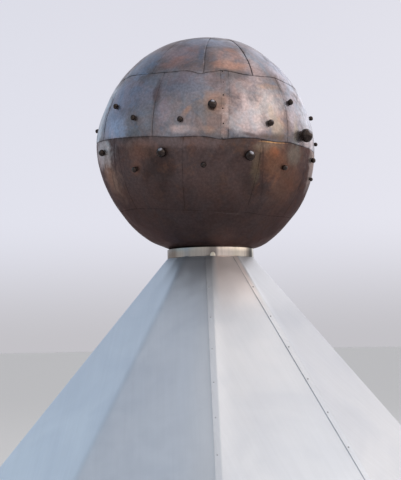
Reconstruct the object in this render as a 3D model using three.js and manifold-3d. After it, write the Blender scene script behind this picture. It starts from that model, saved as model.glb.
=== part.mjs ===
// Studded sheet-metal ball standing on a steel collar and a ten-sided pedestal.
// Millimetres, +Z up. The origin is on the ground under the pedestal's axis.
// Azimuths are in degrees from -Y towards +X, so the front looks along +Y.
import * as THREE from "three";
import { mergeVertices } from "three/addons/utils/BufferGeometryUtils.js";
import Module from "manifold-3d";

const wasm = await Module();
wasm.setup();

// Driving sizes of the ball
const BALL_RADIUS = 750;
const BALL_SHEET = 3;
const SEAM_GAP = 0.3;
const UPPER_SEAM_LATITUDE = 32.3;
const EQUATOR_SEAM_LATITUDE = -1.8;
const LOWER_SEAM_LATITUDE = -38.8;
const TIP_LATITUDE = 89.9;
const LEAN_TO_RIGHT = 3.5;
const LEAN_TO_FRONT = 2.5;
const FACET_DEGREES = 7.5;

// The hand-shaped ball isn't quite a sphere: its right shoulder is flatter, its crown is lower,
// and on the left it bulges at the middle seam
const SHOULDER_DEPTH = 43;
const SHOULDER_AZIMUTH = 90;
const SHOULDER_SPREAD = 65;
const SHOULDER_FOOT = [-36, 27];
const SHOULDER_HEAD = [48, 84];
const BULGE_HEIGHT = 18;
const BULGE_AZIMUTH = -90;
const BULGE_SPREAD = 60;
const BULGE_FOOT = [-36, -1.8];
const BULGE_HEAD = [-1.8, 20];
const CROWN_DEPTH = 8;
const CROWN_RISE = [40, 90];
const LOWERED_FROM = [-1.8, 28];

// Azimuths of the upright seams, which the maker set by eye
const CROWN_SEAMS = [-37, -4, 25, 55, 85, 115, 145, 175, 205, 234, 264, 293];
const UPPER_SEAMS = [-65, -28, 10, 43, 80, 116, 151, 187, 223, 259];
const LOWER_SEAMS = [-50, -12, 26, 61, 97, 133, 168, 204, 240, 275];

// Studs as [azimuth, latitude, head diameter]: these show from the front
const FRONT_STUDS = [
  [-91, 6, 30], [-55.5, 14.5, 36], [-39.5, 7.5, 36], [-13.5, 6, 38], [1.5, 13.5, 58],
  [31, 7, 42], [47, 19.7, 40], [55.5, 3.7, 88], [83.5, 17, 34], [82.5, 2.8, 28],
  [-64.8, -8, 46], [-39, -17.5, 36], [-22, -9.5, 64], [-1.5, -15, 36],
  [20.5, -9.3, 66], [42, -13.3, 36], [70.5, -6.7, 36], [75, -16, 26],
];
// The back repeats one high and one low stud on each panel, measured from its seam,
// between the azimuths that the front view doesn't reach
const BACK_FROM = 112;
const BACK_TO = 249;
const BACK_UPPER_STUDS = [[11, 15, 38], [25, 6, 60]];
const BACK_LOWER_STUDS = [[12, -9, 66], [27, -16, 36]];
const STUD_SIDES = 8;
const STUD_ROOT = 10;

// Driving sizes of the collar
const COLLAR_RADIUS = 292.5;
const COLLAR_HEIGHT = 61;
const COLLAR_SHEET = 6;
const BALL_SEAT_RADIUS = 256;
const COLLAR_SIDES = 48;

// Driving sizes of the pedestal
const PEDESTAL_SIDES = 10;
const PEDESTAL_TURN = 2.1;
const PEDESTAL_HEIGHT = 2041;
const PEDESTAL_TOP_CORNER = 300;
const CORNER_SLOPE = 1.168;
const PEDESTAL_SHEET = 3;
const LAP_WIDTH = 43;
const TOP_PLATE = 6;
const FOOT_WIDTH = 60;
// The pedestal's sheets as [first face, number of faces], counted from the front corner to the right
const PEDESTAL_PANELS = [[0, 1], [1, 2], [3, 2], [5, 1], [6, 2], [8, 2]];

// Sizes worked out from the driving ones
const COLLAR_TOP = PEDESTAL_HEIGHT + SEAM_GAP + COLLAR_HEIGHT;
const SEAT_DROP = Math.sqrt(BALL_RADIUS ** 2 - BALL_SEAT_RADIUS ** 2);
const BALL_CENTRE = COLLAR_TOP + SEAM_GAP + SEAT_DROP;
const CORNER_STEP = 360 / PEDESTAL_SIDES;
const PANEL_TOP = PEDESTAL_HEIGHT - TOP_PLATE - SEAM_GAP;

const rad = THREE.MathUtils.degToRad;
const smoothstep = THREE.MathUtils.smoothstep;

// Finishes
const copper = { color: 0x6b4c44, roughness: 0.38, metalness: 1.0 };
const darkCopper = { color: 0x4a3530, roughness: 0.5, metalness: 1.0 };
const steel = { color: 0xb9b4a8, roughness: 0.3, metalness: 1.0 };
const zinc = { color: 0xc3c8d2, roughness: 0.55, metalness: 0.6 };

// A closed geometry from corner points and faces given as rings of point numbers
function solidFrom(points, rings) {
  const index = [];
  for (const ring of rings) {
    for (let i = 1; i + 1 < ring.length; i += 1) {
      index.push(ring[0], ring[i], ring[i + 1]);
    }
  }
  const geometry = new THREE.BufferGeometry();
  const numbers = points.flatMap((p) => [p.x, p.y, p.z]);
  geometry.setAttribute("position", new THREE.Float32BufferAttribute(numbers, 3));
  geometry.setIndex(index);
  return geometry;
}

// Conversions to and from a solid that can be joined
function toManifold(geometry) {
  const bare = geometry.clone();
  bare.deleteAttribute("normal");
  bare.deleteAttribute("uv");
  const merged = mergeVertices(bare, 1e-4);
  const vertProperties = new Float32Array(merged.attributes.position.array);
  const triVerts = new Uint32Array(merged.index.array);
  return new wasm.Manifold(new wasm.Mesh({ numProp: 3, vertProperties, triVerts }));
}

function fromManifold(solid) {
  const mesh = solid.getMesh();
  const geometry = new THREE.BufferGeometry();
  geometry.setAttribute("position", new THREE.BufferAttribute(mesh.vertProperties, 3));
  geometry.setIndex(new THREE.BufferAttribute(mesh.triVerts, 1));
  return geometry;
}

// Point on a sphere at a height above its centre, moved in from a seam by half the gap
function spherePoint(radius, height, azimuth, sideGap) {
  const reach = Math.sqrt(radius ** 2 - height ** 2);
  const angle = rad(azimuth) + Math.asin(sideGap / reach);
  return new THREE.Vector3(reach * Math.sin(angle), -reach * Math.cos(angle), height);
}

// Rows of heights from seam to seam on the outer or the inner face of the sheet
function rowHeights(radius, low, high, rows) {
  const first = Math.asin(low / radius);
  const last = Math.asin(high / radius);
  const heights = [];
  for (let i = 0; i <= rows; i += 1) {
    heights.push(radius * Math.sin(first + ((last - first) * i) / rows));
  }
  return heights;
}

// Curved sheet between two latitudes and two upright seams
function curvedPanel(lowLatitude, highLatitude, from, to) {
  const columns = Math.round((to - from) / FACET_DEGREES);
  const rows = Math.round((highLatitude - lowLatitude) / FACET_DEGREES);
  const inner = BALL_RADIUS - BALL_SHEET;
  const low = BALL_RADIUS * Math.sin(rad(lowLatitude)) + SEAM_GAP / 2;
  const isTip = highLatitude === TIP_LATITUDE;
  const high = BALL_RADIUS * Math.sin(rad(highLatitude)) - (isTip ? 0 : SEAM_GAP / 2);
  const innerHigh = isTip ? inner * Math.sin(rad(highLatitude)) : high;
  const points = [];
  for (const [radius, top] of [[BALL_RADIUS, high], [inner, innerHigh]]) {
    for (const height of rowHeights(radius, low, top, rows)) {
      for (let j = 0; j <= columns; j += 1) {
        const share = j / columns;
        const sideGap = (SEAM_GAP / 2) * (1 - 2 * share);
        points.push(spherePoint(radius, height, from + (to - from) * share, sideGap));
      }
    }
  }
  const across = columns + 1;
  const innerStart = across * (rows + 1);
  const outerAt = (i, j) => i * across + j;
  const innerAt = (i, j) => innerStart + i * across + j;
  const rings = [];
  for (let i = 0; i < rows; i += 1) {
    for (let j = 0; j < columns; j += 1) {
      rings.push([outerAt(i, j), outerAt(i, j + 1), outerAt(i + 1, j + 1), outerAt(i + 1, j)]);
      rings.push([innerAt(i, j), innerAt(i + 1, j), innerAt(i + 1, j + 1), innerAt(i, j + 1)]);
    }
    rings.push([outerAt(i, 0), outerAt(i + 1, 0), innerAt(i + 1, 0), innerAt(i, 0)]);
    const [a, b] = [outerAt(i, columns), outerAt(i + 1, columns)];
    rings.push([b, a, a + innerStart, b + innerStart]);
  }
  for (let j = 0; j < columns; j += 1) {
    rings.push([outerAt(0, j + 1), outerAt(0, j), innerAt(0, j), innerAt(0, j + 1)]);
    rings.push([outerAt(rows, j), outerAt(rows, j + 1), innerAt(rows, j + 1), innerAt(rows, j)]);
  }
  return solidFrom(points, rings);
}

// Soft patch: 1 in its middle, 0 past its spread in azimuth and past its foot and its head in latitude
function patch(azimuth, latitude, middle, spread, foot, head) {
  const off = THREE.MathUtils.clamp((azimuth - middle) / spread, -1, 1);
  const up = smoothstep(latitude, ...foot) * (1 - smoothstep(latitude, ...head));
  return Math.cos((off * Math.PI) / 2) ** 2 * up;
}

// How far the ball's surface lies inside its sphere
function flatness(azimuth, latitude) {
  const [a, b] = [azimuth, latitude];
  const shoulder = patch(a, b, SHOULDER_AZIMUTH, SHOULDER_SPREAD, SHOULDER_FOOT, SHOULDER_HEAD);
  const bulge = patch(a, b, BULGE_AZIMUTH, BULGE_SPREAD, BULGE_FOOT, BULGE_HEAD);
  const crown = smoothstep(latitude, ...CROWN_RISE);
  return SHOULDER_DEPTH * shoulder - BULGE_HEIGHT * bulge + CROWN_DEPTH * crown;
}

// Geometry moved from the sphere to the hand-shaped ball. The middle seam stays level: there
// points only move towards the upright axis, and higher up they move straight to the centre.
function handShaped(geometry) {
  const places = geometry.attributes.position;
  const point = new THREE.Vector3();
  for (let i = 0; i < places.count; i += 1) {
    point.fromBufferAttribute(places, i);
    const reach = Math.hypot(point.x, point.y);
    const sine = point.z / point.length();
    const latitude = THREE.MathUtils.radToDeg(Math.asin(sine));
    const azimuth = THREE.MathUtils.radToDeg(Math.atan2(point.x, -point.y));
    const depth = flatness(azimuth, latitude);
    const lowered = smoothstep(latitude, ...LOWERED_FROM);
    if (reach > 0) {
      const inward = (depth * (1 - lowered * sine ** 2)) / Math.sqrt(1 - sine ** 2);
      point.x *= 1 - inward / reach;
      point.y *= 1 - inward / reach;
    }
    point.z -= depth * lowered * sine;
    places.setXYZ(i, point.x, point.y, point.z);
  }
  return geometry;
}

// Domed stud on a short neck, rooted through the sheet
function stud([azimuth, latitude, diameter]) {
  const profile = [
    [0, -STUD_ROOT], [0.34 * diameter, -STUD_ROOT], [0.34 * diameter, 0.08 * diameter],
    [0.47 * diameter, 0.19 * diameter], [0.5 * diameter, 0.38 * diameter],
    [0.38 * diameter, 0.68 * diameter], [0, 0.83 * diameter],
  ];
  const outline = profile.map(([r, h]) => new THREE.Vector2(r, h));
  const geometry = new THREE.LatheGeometry(outline, STUD_SIDES);
  const tilt = rad(latitude);
  const turn = rad(azimuth);
  const outward = new THREE.Vector3(
    Math.cos(tilt) * Math.sin(turn), -Math.cos(tilt) * Math.cos(turn), Math.sin(tilt));
  const place = new THREE.Quaternion().setFromUnitVectors(new THREE.Vector3(0, 1, 0), outward);
  geometry.applyQuaternion(place);
  geometry.translate(...outward.multiplyScalar(BALL_RADIUS).toArray());
  return geometry;
}

// Whether an azimuth lies between two seams, whichever way round the circle it is written
function isBetween(azimuth, from, to) {
  const past = THREE.MathUtils.euclideanModulo(azimuth - from, 360);
  return past < to - from;
}

// All studs, with the back's worked out from its seams
function studList() {
  const list = [...FRONT_STUDS];
  for (const [seams, pattern] of [[UPPER_SEAMS, BACK_UPPER_STUDS], [LOWER_SEAMS, BACK_LOWER_STUDS]]) {
    for (const seam of seams) {
      for (const [along, latitude, diameter] of pattern) {
        const azimuth = seam + along;
        if (azimuth > BACK_FROM && azimuth < BACK_TO) {
          list.push([azimuth, latitude, diameter]);
        }
      }
    }
  }
  return list;
}

// Curved panel with the studs that stand on it
function studdedPanel(lowLatitude, highLatitude, from, to, studs) {
  let solid = toManifold(curvedPanel(lowLatitude, highLatitude, from, to));
  for (const one of studs) {
    const [azimuth, latitude] = one;
    if (isBetween(azimuth, from, to) && latitude > lowLatitude && latitude < highLatitude) {
      solid = solid.add(toManifold(stud(one)));
    }
  }
  return fromManifold(solid);
}

// Dished bottom of the ball, open upwards
function bottomBowl() {
  const inner = BALL_RADIUS - BALL_SHEET;
  const rim = BALL_RADIUS * Math.sin(rad(LOWER_SEAM_LATITUDE)) - SEAM_GAP / 2;
  const rows = Math.round((90 + LOWER_SEAM_LATITUDE) / FACET_DEGREES);
  const outline = [];
  for (const height of rowHeights(BALL_RADIUS, -BALL_RADIUS, rim, rows)) {
    outline.push(new THREE.Vector2(Math.sqrt(BALL_RADIUS ** 2 - height ** 2), height));
  }
  for (const height of rowHeights(inner, -inner, rim, rows).reverse()) {
    outline.push(new THREE.Vector2(Math.sqrt(inner ** 2 - height ** 2), height));
  }
  outline[0].x = 0;
  outline[outline.length - 1].x = 0;
  const geometry = new THREE.LatheGeometry(outline, 360 / FACET_DEGREES);
  geometry.rotateX(Math.PI / 2);
  return geometry;
}

// Steel collar: an upright band with a flange turned in at the top, on which the ball sits
function collarRing() {
  const bottom = PEDESTAL_HEIGHT + SEAM_GAP;
  const wall = COLLAR_RADIUS - COLLAR_SHEET;
  const outline = [
    [wall, bottom], [COLLAR_RADIUS, bottom], [COLLAR_RADIUS, COLLAR_TOP],
    [BALL_SEAT_RADIUS, COLLAR_TOP], [BALL_SEAT_RADIUS, COLLAR_TOP - COLLAR_SHEET],
    [wall, COLLAR_TOP - COLLAR_SHEET], [wall, bottom],
  ].map(([r, z]) => new THREE.Vector2(r, z));
  const geometry = new THREE.LatheGeometry(outline, COLLAR_SIDES);
  geometry.rotateX(Math.PI / 2);
  return geometry;
}

// Pedestal geometry: outward direction of face k and its distance from the axis at a height
const apothemShare = Math.cos(rad(CORNER_STEP / 2));
const faceRun = apothemShare / CORNER_SLOPE;
const normalRise = Math.atan(faceRun);
const lapLevel = PEDESTAL_SHEET + SEAM_GAP;

function faceDirection(k) {
  const angle = rad(PEDESTAL_TURN + CORNER_STEP * (k + 0.5));
  return new THREE.Vector2(Math.sin(angle), -Math.cos(angle));
}

function cornerRadius(height) {
  return PEDESTAL_TOP_CORNER + (PEDESTAL_HEIGHT - height) / CORNER_SLOPE;
}

// Corner in plan where face a, moved out by offsetA, meets face b, moved out by offsetB
function meet(a, offsetA, b, offsetB, height) {
  const apothem = cornerRadius(height) * apothemShare;
  const n = faceDirection(a);
  const m = faceDirection(b);
  const p = apothem + offsetA / Math.cos(normalRise);
  const q = apothem + offsetB / Math.cos(normalRise);
  const cross = n.x * m.y - n.y * m.x;
  return new THREE.Vector3((p * m.y - q * n.y) / cross, (q * n.x - p * m.x) / cross, height);
}

// Point on face k-1, moved out by an offset, a lap's width from the corner between k-1 and k
function lapEnd(k, offset, height) {
  const corner = meet(k - 1, 0, k, 0, height);
  const n = faceDirection(k - 1);
  const slant = Math.hypot(1, faceRun);
  const lean = Math.atan((Math.tan(rad(CORNER_STEP / 2)) * faceRun) / slant);
  const along = LAP_WIDTH / Math.cos(lean);
  const out = offset / Math.cos(normalRise);
  return new THREE.Vector3(
    corner.x + n.x * out + n.y * along, corner.y + n.y * out - n.x * along, height);
}

// Corners of a run of faces in plan, from right to left, with it and both neighbours moved out by offsets
function cornerLine([first, count], offset, leftOffset, rightOffset, height) {
  const last = first + count - 1;
  const line = [meet(last, offset, last + 1, rightOffset, height)];
  for (let k = last; k > first; k -= 1) {
    line.push(meet(k, offset, k - 1, offset, height));
  }
  line.push(meet(first, offset, first - 1, leftOffset, height));
  return line;
}

// Closed solid between two heights, from an outer line and the inner line that pairs with it
function stripSolid(heights, linesAt) {
  const points = [];
  let across = 0;
  for (const height of heights) {
    const [outer, inner] = linesAt(height);
    across = outer.length;
    points.push(...outer, ...inner.reverse());
  }
  const ring = 2 * across;
  const rings = [];
  for (let i = 0; i + 1 < across; i += 1) {
    const [a, b] = [ring - 1 - i, ring - 2 - i];
    rings.push([i, i + 1, b, a], [i + ring, a + ring, b + ring, i + 1 + ring]);
  }
  for (let i = 0; i < ring; i += 1) {
    const next = (i + 1) % ring;
    rings.push([i, i + ring, next + ring, next]);
  }
  return solidFrom(points, rings);
}

// Sheet over one or two faces, whose left edge folds round the corner and laps its neighbour
function foldedPanel(run) {
  return stripSolid([0, PANEL_TOP], (height) => [
    [...cornerLine(run, 0, lapLevel, -lapLevel, height), lapEnd(run[0], lapLevel, height)],
    [...cornerLine(run, -PEDESTAL_SHEET, SEAM_GAP, -lapLevel, height), lapEnd(run[0], SEAM_GAP, height)],
  ]);
}

// Foot turned in along the bottom edge of a sheet, mitred at both ends
function turnedFoot(run) {
  const inside = -FOOT_WIDTH * Math.cos(normalRise);
  return stripSolid([0, PEDESTAL_SHEET], (height) => [
    cornerLine(run, -1, -1, -lapLevel, height),
    cornerLine(run, inside, inside, inside, height),
  ]);
}

// Ten-sided plate that closes the pedestal, with its edge on the panels' slope
function topPlate() {
  const points = [];
  for (const height of [PEDESTAL_HEIGHT - TOP_PLATE, PEDESTAL_HEIGHT]) {
    for (let k = 0; k < PEDESTAL_SIDES; k += 1) {
      points.push(meet(k - 1, 0, k, 0, height));
    }
  }
  const under = points.map((_, i) => i).slice(0, PEDESTAL_SIDES);
  const over = under.map((i) => i + PEDESTAL_SIDES);
  const rings = [[...under].reverse(), over];
  for (const i of under) {
    const next = (i + 1) % PEDESTAL_SIDES;
    rings.push([i, next, next + PEDESTAL_SIDES, i + PEDESTAL_SIDES]);
  }
  return solidFrom(points, rings);
}

// A named sub-part with its own material
function part(name, geometry, finish) {
  const mesh = new THREE.Mesh(geometry, new THREE.MeshStandardMaterial(finish));
  mesh.name = name;
  return mesh;
}

function numbered(base, index) {
  return `${base}_${String(index + 1).padStart(2, "0")}`;
}

// Seams in pairs, the last one closing the circle
function seamPairs(seams) {
  return seams.map((from, i) => [from, i + 1 < seams.length ? seams[i + 1] : seams[0] + 360]);
}

const ball = new THREE.Group();
const studs = studList();
seamPairs(CROWN_SEAMS).forEach(([from, to], i) => {
  const geometry = curvedPanel(UPPER_SEAM_LATITUDE, TIP_LATITUDE, from, to);
  ball.add(part(numbered("crown_gore", i), handShaped(geometry), copper));
});
seamPairs(UPPER_SEAMS).forEach(([from, to], i) => {
  const geometry = studdedPanel(EQUATOR_SEAM_LATITUDE, UPPER_SEAM_LATITUDE, from, to, studs);
  ball.add(part(numbered("upper_panel", i), handShaped(geometry), copper));
});
seamPairs(LOWER_SEAMS).forEach(([from, to], i) => {
  const geometry = studdedPanel(LOWER_SEAM_LATITUDE, EQUATOR_SEAM_LATITUDE, from, to, studs);
  ball.add(part(numbered("lower_panel", i), handShaped(geometry), darkCopper));
});
ball.add(part("bottom_bowl", bottomBowl(), darkCopper));
ball.rotation.set(rad(LEAN_TO_FRONT), rad(LEAN_TO_RIGHT), 0, "YXZ");
ball.position.z = BALL_CENTRE;

const pedestal = new THREE.Group();
pedestal.add(part("collar", collarRing(), steel));
pedestal.add(part("top_plate", topPlate(), zinc));
PEDESTAL_PANELS.forEach((run, i) => {
  const solid = toManifold(foldedPanel(run)).add(toManifold(turnedFoot(run)));
  pedestal.add(part(numbered("pedestal_panel", i), fromManifold(solid), zinc));
});

const monument = new THREE.Group();
monument.add(ball, pedestal);
export default monument;
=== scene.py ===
import math

import bmesh
import bpy
import numpy as np
from bpy.props import FloatProperty, FloatVectorProperty, IntProperty, PointerProperty
from mathutils import Matrix, Vector


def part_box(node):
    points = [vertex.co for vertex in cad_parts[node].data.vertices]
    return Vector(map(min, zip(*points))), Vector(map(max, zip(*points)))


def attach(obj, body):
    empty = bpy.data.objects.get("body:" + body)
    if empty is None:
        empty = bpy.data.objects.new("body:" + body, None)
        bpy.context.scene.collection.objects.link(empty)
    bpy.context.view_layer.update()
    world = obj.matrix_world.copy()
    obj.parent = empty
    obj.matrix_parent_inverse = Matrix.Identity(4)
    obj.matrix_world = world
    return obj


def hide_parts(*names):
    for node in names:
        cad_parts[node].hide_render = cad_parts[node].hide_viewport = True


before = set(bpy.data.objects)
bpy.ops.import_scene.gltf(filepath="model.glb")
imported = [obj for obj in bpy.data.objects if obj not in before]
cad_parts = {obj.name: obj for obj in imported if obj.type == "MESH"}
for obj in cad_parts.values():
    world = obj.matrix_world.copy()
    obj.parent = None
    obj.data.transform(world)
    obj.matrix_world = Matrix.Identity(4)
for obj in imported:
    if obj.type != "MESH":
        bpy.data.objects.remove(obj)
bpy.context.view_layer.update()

bl_info = {
    "name": "Studded copper ball on a ten-sided pedestal",
    "version": (1, 0, 0),
    "blender": (4, 5, 0),
    "location": "View3D > Sidebar > Monument",
    "description": "Finished surfaces of a sheet metal ball monument around its packed solids",
    "category": "Object",
}

BODY = "root"
MM = 0.001
MERGE_REACH = 0.01 * MM
# Least numbers that a division or a weight may have
TINY = 1e-6
TINIER = 1e-9

# Azimuths of the upright seams in degrees, from the front (-Y) towards the right (+X)
CROWN_SEAMS = (-37, -4, 25, 55, 85, 115, 145, 175, 205, 234, 264, 293)
UPPER_SEAMS = (-65, -28, 10, 43, 80, 116, 151, 187, 223, 259)
LOWER_SEAMS = (-50, -12, 26, 61, 97, 133, 168, 204, 240, 275)

# How dark and deep each seam is, from 0 to 1; the others take the last number of their band
SEAM_MARKS = {
    "crown_sheet": ({-37: 0.12, -4: 0.35, 25: 0.9, 55: 0.2}, 0.5),
    "upper_sheet": ({-65: 0.95, -28: 0.4, 10: 0.15, 43: 0.2}, 0.5),
    "lower_sheet": ({-50: 0.08, -12: 0.0, 26: 0.05, 61: 0.05}, 0.15),
}
UPPER_MARK = 0.65
MIDDLE_MARK = 0.5
LOWER_MARK = 0.08

# Where a level seam was dressed off its line, as (azimuth, latitude, rise in mm, half width in mm),
# and how far above and below the seam the sheets follow it
SEAM_STRAYS = (
    (-17, 32.3, 9, 70), (-6, 32.3, -18, 45), (9, 32.3, 14, 75), (41, 32.3, 18, 90),
    (-55, 32.3, 8, 80), (-17, -1.8, -11, 120), (7, -1.8, -12, 70), (24, -1.8, 4, 60),
    (44, -1.8, 14, 100),
)
STRAY_REACH = 0.08
CAP_LATITUDE = 66

# Studs as (azimuth, latitude, head diameter in mm); on the unseen back each sheet repeats a pair,
# with the azimuths counted from the sheet's seam
FRONT_UPPER_STUDS = (
    (-91, 6, 30), (-55.5, 14.5, 36), (-39.5, 7.5, 36), (-13.5, 6, 38), (1.5, 13.5, 58),
    (31, 7, 42), (47, 19.7, 40), (55.5, 3.7, 88), (83.5, 17, 34), (82.5, 2.8, 28),
)
FRONT_LOWER_STUDS = (
    (-64.8, -8, 46), (-39, -17.5, 36), (-22, -9.5, 64), (-1.5, -15, 36),
    (20.5, -9.3, 66), (42, -13.3, 36), (70.5, -6.7, 36), (75, -16, 26),
)
BACK_FROM = 112
BACK_TO = 249
BACK_UPPER_PAIR = ((11, 15, 38), (25, 6, 60))
BACK_LOWER_PAIR = ((12, -9, 66), (27, -16, 36))


def length(label, about, default):
    """A size in metres that a user can change."""
    return FloatProperty(
        name=label, description=about, default=default, min=0.0, unit="LENGTH", precision=4)


def turn(label, about, default):
    """An angle that a user can change, with its default in degrees."""
    return FloatProperty(
        name=label, description=about, default=math.radians(default), unit="ROTATION")


def colour(label, about, default):
    """A colour that a user can change."""
    return FloatVectorProperty(
        name=label, description=about, default=default, size=3, min=0.0, max=1.0, subtype="COLOR")


class BallSizes(bpy.types.PropertyGroup):
    """Sizes of the copper ball"""
    radius: length("Radius", "Outer radius of the ball", 0.75)
    sheet: length("Sheet", "Thickness of the copper sheet", 3 * MM)
    seam_gap: length("Seam gap", "Gap left between two sheets", 0.3 * MM)
    seat_radius: length("Seat radius", "Radius at which the ball sits on the collar", 0.256)
    upper_seam: turn("Upper seam", "Latitude of the seam under the crown", 32.3)
    middle_seam: turn("Middle seam", "Latitude of the seam round the middle", -1.8)
    lower_seam: turn("Lower seam", "Latitude of the seam over the dished bottom", -38.8)
    lean_right: turn("Lean to the right", "How far the ball leans to the right", 3.5)
    lean_front: turn("Lean to the front", "How far the ball leans to the front", 2.5)
    grid_step: length("Grid step", "Spacing of the mesh between the seams", 16 * MM)
    groove_depth: length("Groove depth", "How far a sheet's edge is dressed in at a seam", 3.2 * MM)
    groove_width: length("Groove width", "How far from the seam the edge is dressed in", 3.4 * MM)
    pinch: length("Pinch", "How far a sheet falls towards its seams", 2.4 * MM)
    pinch_width: length("Pinch width", "How far from the seam the sheet begins to fall", 26 * MM)
    wander: length("Wander", "How far the seams stray from true lines", 3.0 * MM)
    shoulder_depth: length("Shoulder depth", "How far the right shoulder lies in", 43 * MM)
    crown_depth: length("Crown depth", "How much lower than the sphere the crown is", 8 * MM)
    bulge_height: length("Bulge height", "How far the left side bulges at the middle seam", 18 * MM)
    bottom_fullness: length("Bottom fullness", "How far the bottom swells out", 14 * MM)
    strap_width: length("Strap width", "Width of the riveted strip on one upper seam", 50 * MM)


class PedestalSizes(bpy.types.PropertyGroup):
    """Sizes of the ten-sided pedestal and its collar"""
    sides: IntProperty(name="Sides", description="Number of flat faces", default=10, min=3)
    turn: turn("Turn", "Azimuth of the first corner", 2.1)
    top_corner: length("Top corner radius", "Distance of a corner from the axis at the top", 0.3)
    slope: FloatProperty(
        name="Corner slope", description="Rise of a corner edge over its run", default=1.168)
    sheet: length("Sheet", "Thickness of the pedestal's sheet", 3 * MM)
    gap: length("Gap", "Gap left between lapped sheets", 0.3 * MM)
    lap_width: length("Lap width", "Width of the strip folded round each corner", 43 * MM)
    lap_lift: length("Lap lift", "How far the free edge of the loosest lap springs out", 6 * MM)
    fold_radius: length("Fold radius", "Radius of the fold at a lapped corner", 9 * MM)
    bend_radius: length("Bend radius", "Radius of the bend between two faces of one sheet", 42 * MM)
    dish: length("Dishing", "How far the flat sheets dish in and out", 2.2 * MM)
    foot_width: length("Foot width", "Width of the foot turned in under each panel", 60 * MM)
    fastener_pitch: length("Fastener pitch", "Distance between fasteners down a lap", 0.252)
    fastener_width: length("Fastener width", "Diameter of a fastener's head", 11 * MM)
    fastener_height: length("Fastener height", "Height of a fastener's head", 2 * MM)
    collar_edge: length("Collar edge", "Rounding of the collar's edges", 2 * MM)


class CopperColours(bpy.types.PropertyGroup):
    """Colours of the weathered copper and of the studs"""
    mauve: colour("Mauve", "Ground colour of the upper sheets", (0.29, 0.26, 0.28))
    umber: colour("Umber", "Darker brown of the upper sheets", (0.19, 0.155, 0.155))
    bloom: colour("Bloom", "Blue-grey bloom on the upper sheets", (0.19, 0.235, 0.31))
    dark_brown: colour("Dark brown", "Ground colour of the lower sheets", (0.115, 0.082, 0.080))
    # Black brown also gives the painted shade towards the bottom of the ball
    black_brown: colour("Black brown", "Darkest colour of the lower sheets", (0.068, 0.046, 0.043))
    dirt: colour("Dirt", "Dirt held in the seams", (0.034, 0.026, 0.025))
    bronze: colour("Bronze", "Colour of the studs", (0.055, 0.042, 0.038))


class PedestalColours(bpy.types.PropertyGroup):
    """Colours of the pedestal's sheet and of the collar"""
    sheet: colour("Sheet", "Colour of the pedestal's sheet", (0.76, 0.78, 0.82))
    weathered: colour("Weathered", "Duller colour of the pedestal's sheet", (0.705, 0.73, 0.78))
    # The grime colour also gives the painted shade under the collar
    grime: colour("Grime", "Dirt along the laps", (0.13, 0.13, 0.15))
    steel: colour("Steel", "Colour of the collar", (0.60, 0.55, 0.49))


SETTINGS = {
    "monument_ball": BallSizes,
    "monument_pedestal": PedestalSizes,
    "monument_copper": CopperColours,
    "monument_metal": PedestalColours,
}


# Soft tints on the sheets as (colour, azimuth, latitude, width, height, tilt, strength), with
# angles in degrees and sizes in mm. Besides patina, they hold painted reflections of the sky at
# the limbs and painted highlights right of the middle, each marked where it stands
UPPER_TINTS_AND_REFLECTIONS = (
    ((0.285, 0.30, 0.40), -56, 16, 400, 660, -14, 0.8),
    # Painted reflection of the sky on the left limb
    ((0.52, 0.58, 0.64), -75, 12, 260, 640, -10, 0.85),
    ((0.24, 0.25, 0.33), -40, 20, 420, 330, 0, 0.5),
    ((0.18, 0.19, 0.25), -14, 24, 420, 250, 0, 0.5),
    ((0.42, 0.43, 0.55), -52, 2, 300, 220, 0, 0.6),
    ((0.20, 0.26, 0.36), -50, 40, 330, 360, 20, 0.75),
    ((0.35, 0.40, 0.51), -8, 60, 460, 260, 0, 0.7),
    ((0.41, 0.34, 0.38), -20, 45, 320, 260, 0, 0.65),
    ((0.40, 0.23, 0.19), -23, 40, 230, 150, 15, 0.55),
    ((0.36, 0.21, 0.17), -15, 51, 90, 130, 0, 0.35),
    ((0.31, 0.23, 0.23), 10, 45, 330, 230, -10, 0.6),
    ((0.40, 0.24, 0.18), 12, 38, 330, 150, 0, 0.5),
    ((0.40, 0.22, 0.16), 14, 51, 120, 90, 0, 0.4),
    ((0.15, 0.20, 0.29), -7, 46, 70, 260, 0, 0.65),
    ((0.32, 0.36, 0.44), 38, 46, 300, 330, 0, 0.65),
    ((0.46, 0.47, 0.55), 56, 40, 330, 420, 0, 0.85),
    ((0.12, 0.08, 0.075), -28, 19, 70, 300, 8, 0.65),
    ((0.41, 0.32, 0.36), -23, 9, 120, 240, 0, 0.5),
    ((0.52, 0.28, 0.17), -11, 10, 60, 130, -30, 0.55),
    ((0.34, 0.27, 0.26), 3, 5, 240, 240, 0, 0.5),
    ((0.52, 0.36, 0.32), 8, 6, 60, 300, 0, 0.45),
    ((0.50, 0.33, 0.26), 0, 1.5, 110, 70, 0, 0.5),
    ((0.62, 0.49, 0.49), -13, 1.5, 210, 60, 0, 0.6),
    ((0.44, 0.28, 0.21), 2, 16, 260, 170, 0, 0.55),
    ((0.47, 0.38, 0.37), 17, 23, 200, 220, 0, 0.75),
    # Painted highlights, pink-white and beige, where the key light falls
    ((0.67, 0.59, 0.61), 18, 9, 300, 340, 0, 0.82),
    ((0.57, 0.48, 0.45), 31, 15, 330, 380, 20, 0.75),
    ((0.52, 0.36, 0.24), 32, 13, 70, 110, 0, 0.4),
    ((0.38, 0.28, 0.21), 36, 6, 180, 200, 0, 0.7),
    ((0.13, 0.10, 0.085), 35, 0.5, 400, 66, 4, 0.8),
    ((0.09, 0.07, 0.075), 20, 0.5, 150, 34, -8, 0.7),
    # Painted reflection of the sky along the right limb
    ((0.46, 0.46, 0.53), 51, 18, 220, 600, 0, 0.85),
    ((0.64, 0.64, 0.70), 69, 18, 340, 760, 0, 0.92),
    ((0.32, 0.29, 0.23), 50, 5, 80, 260, -10, 0.6),
    ((0.42, 0.27, 0.19), 34, 27, 260, 60, 8, 0.5),
)
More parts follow.
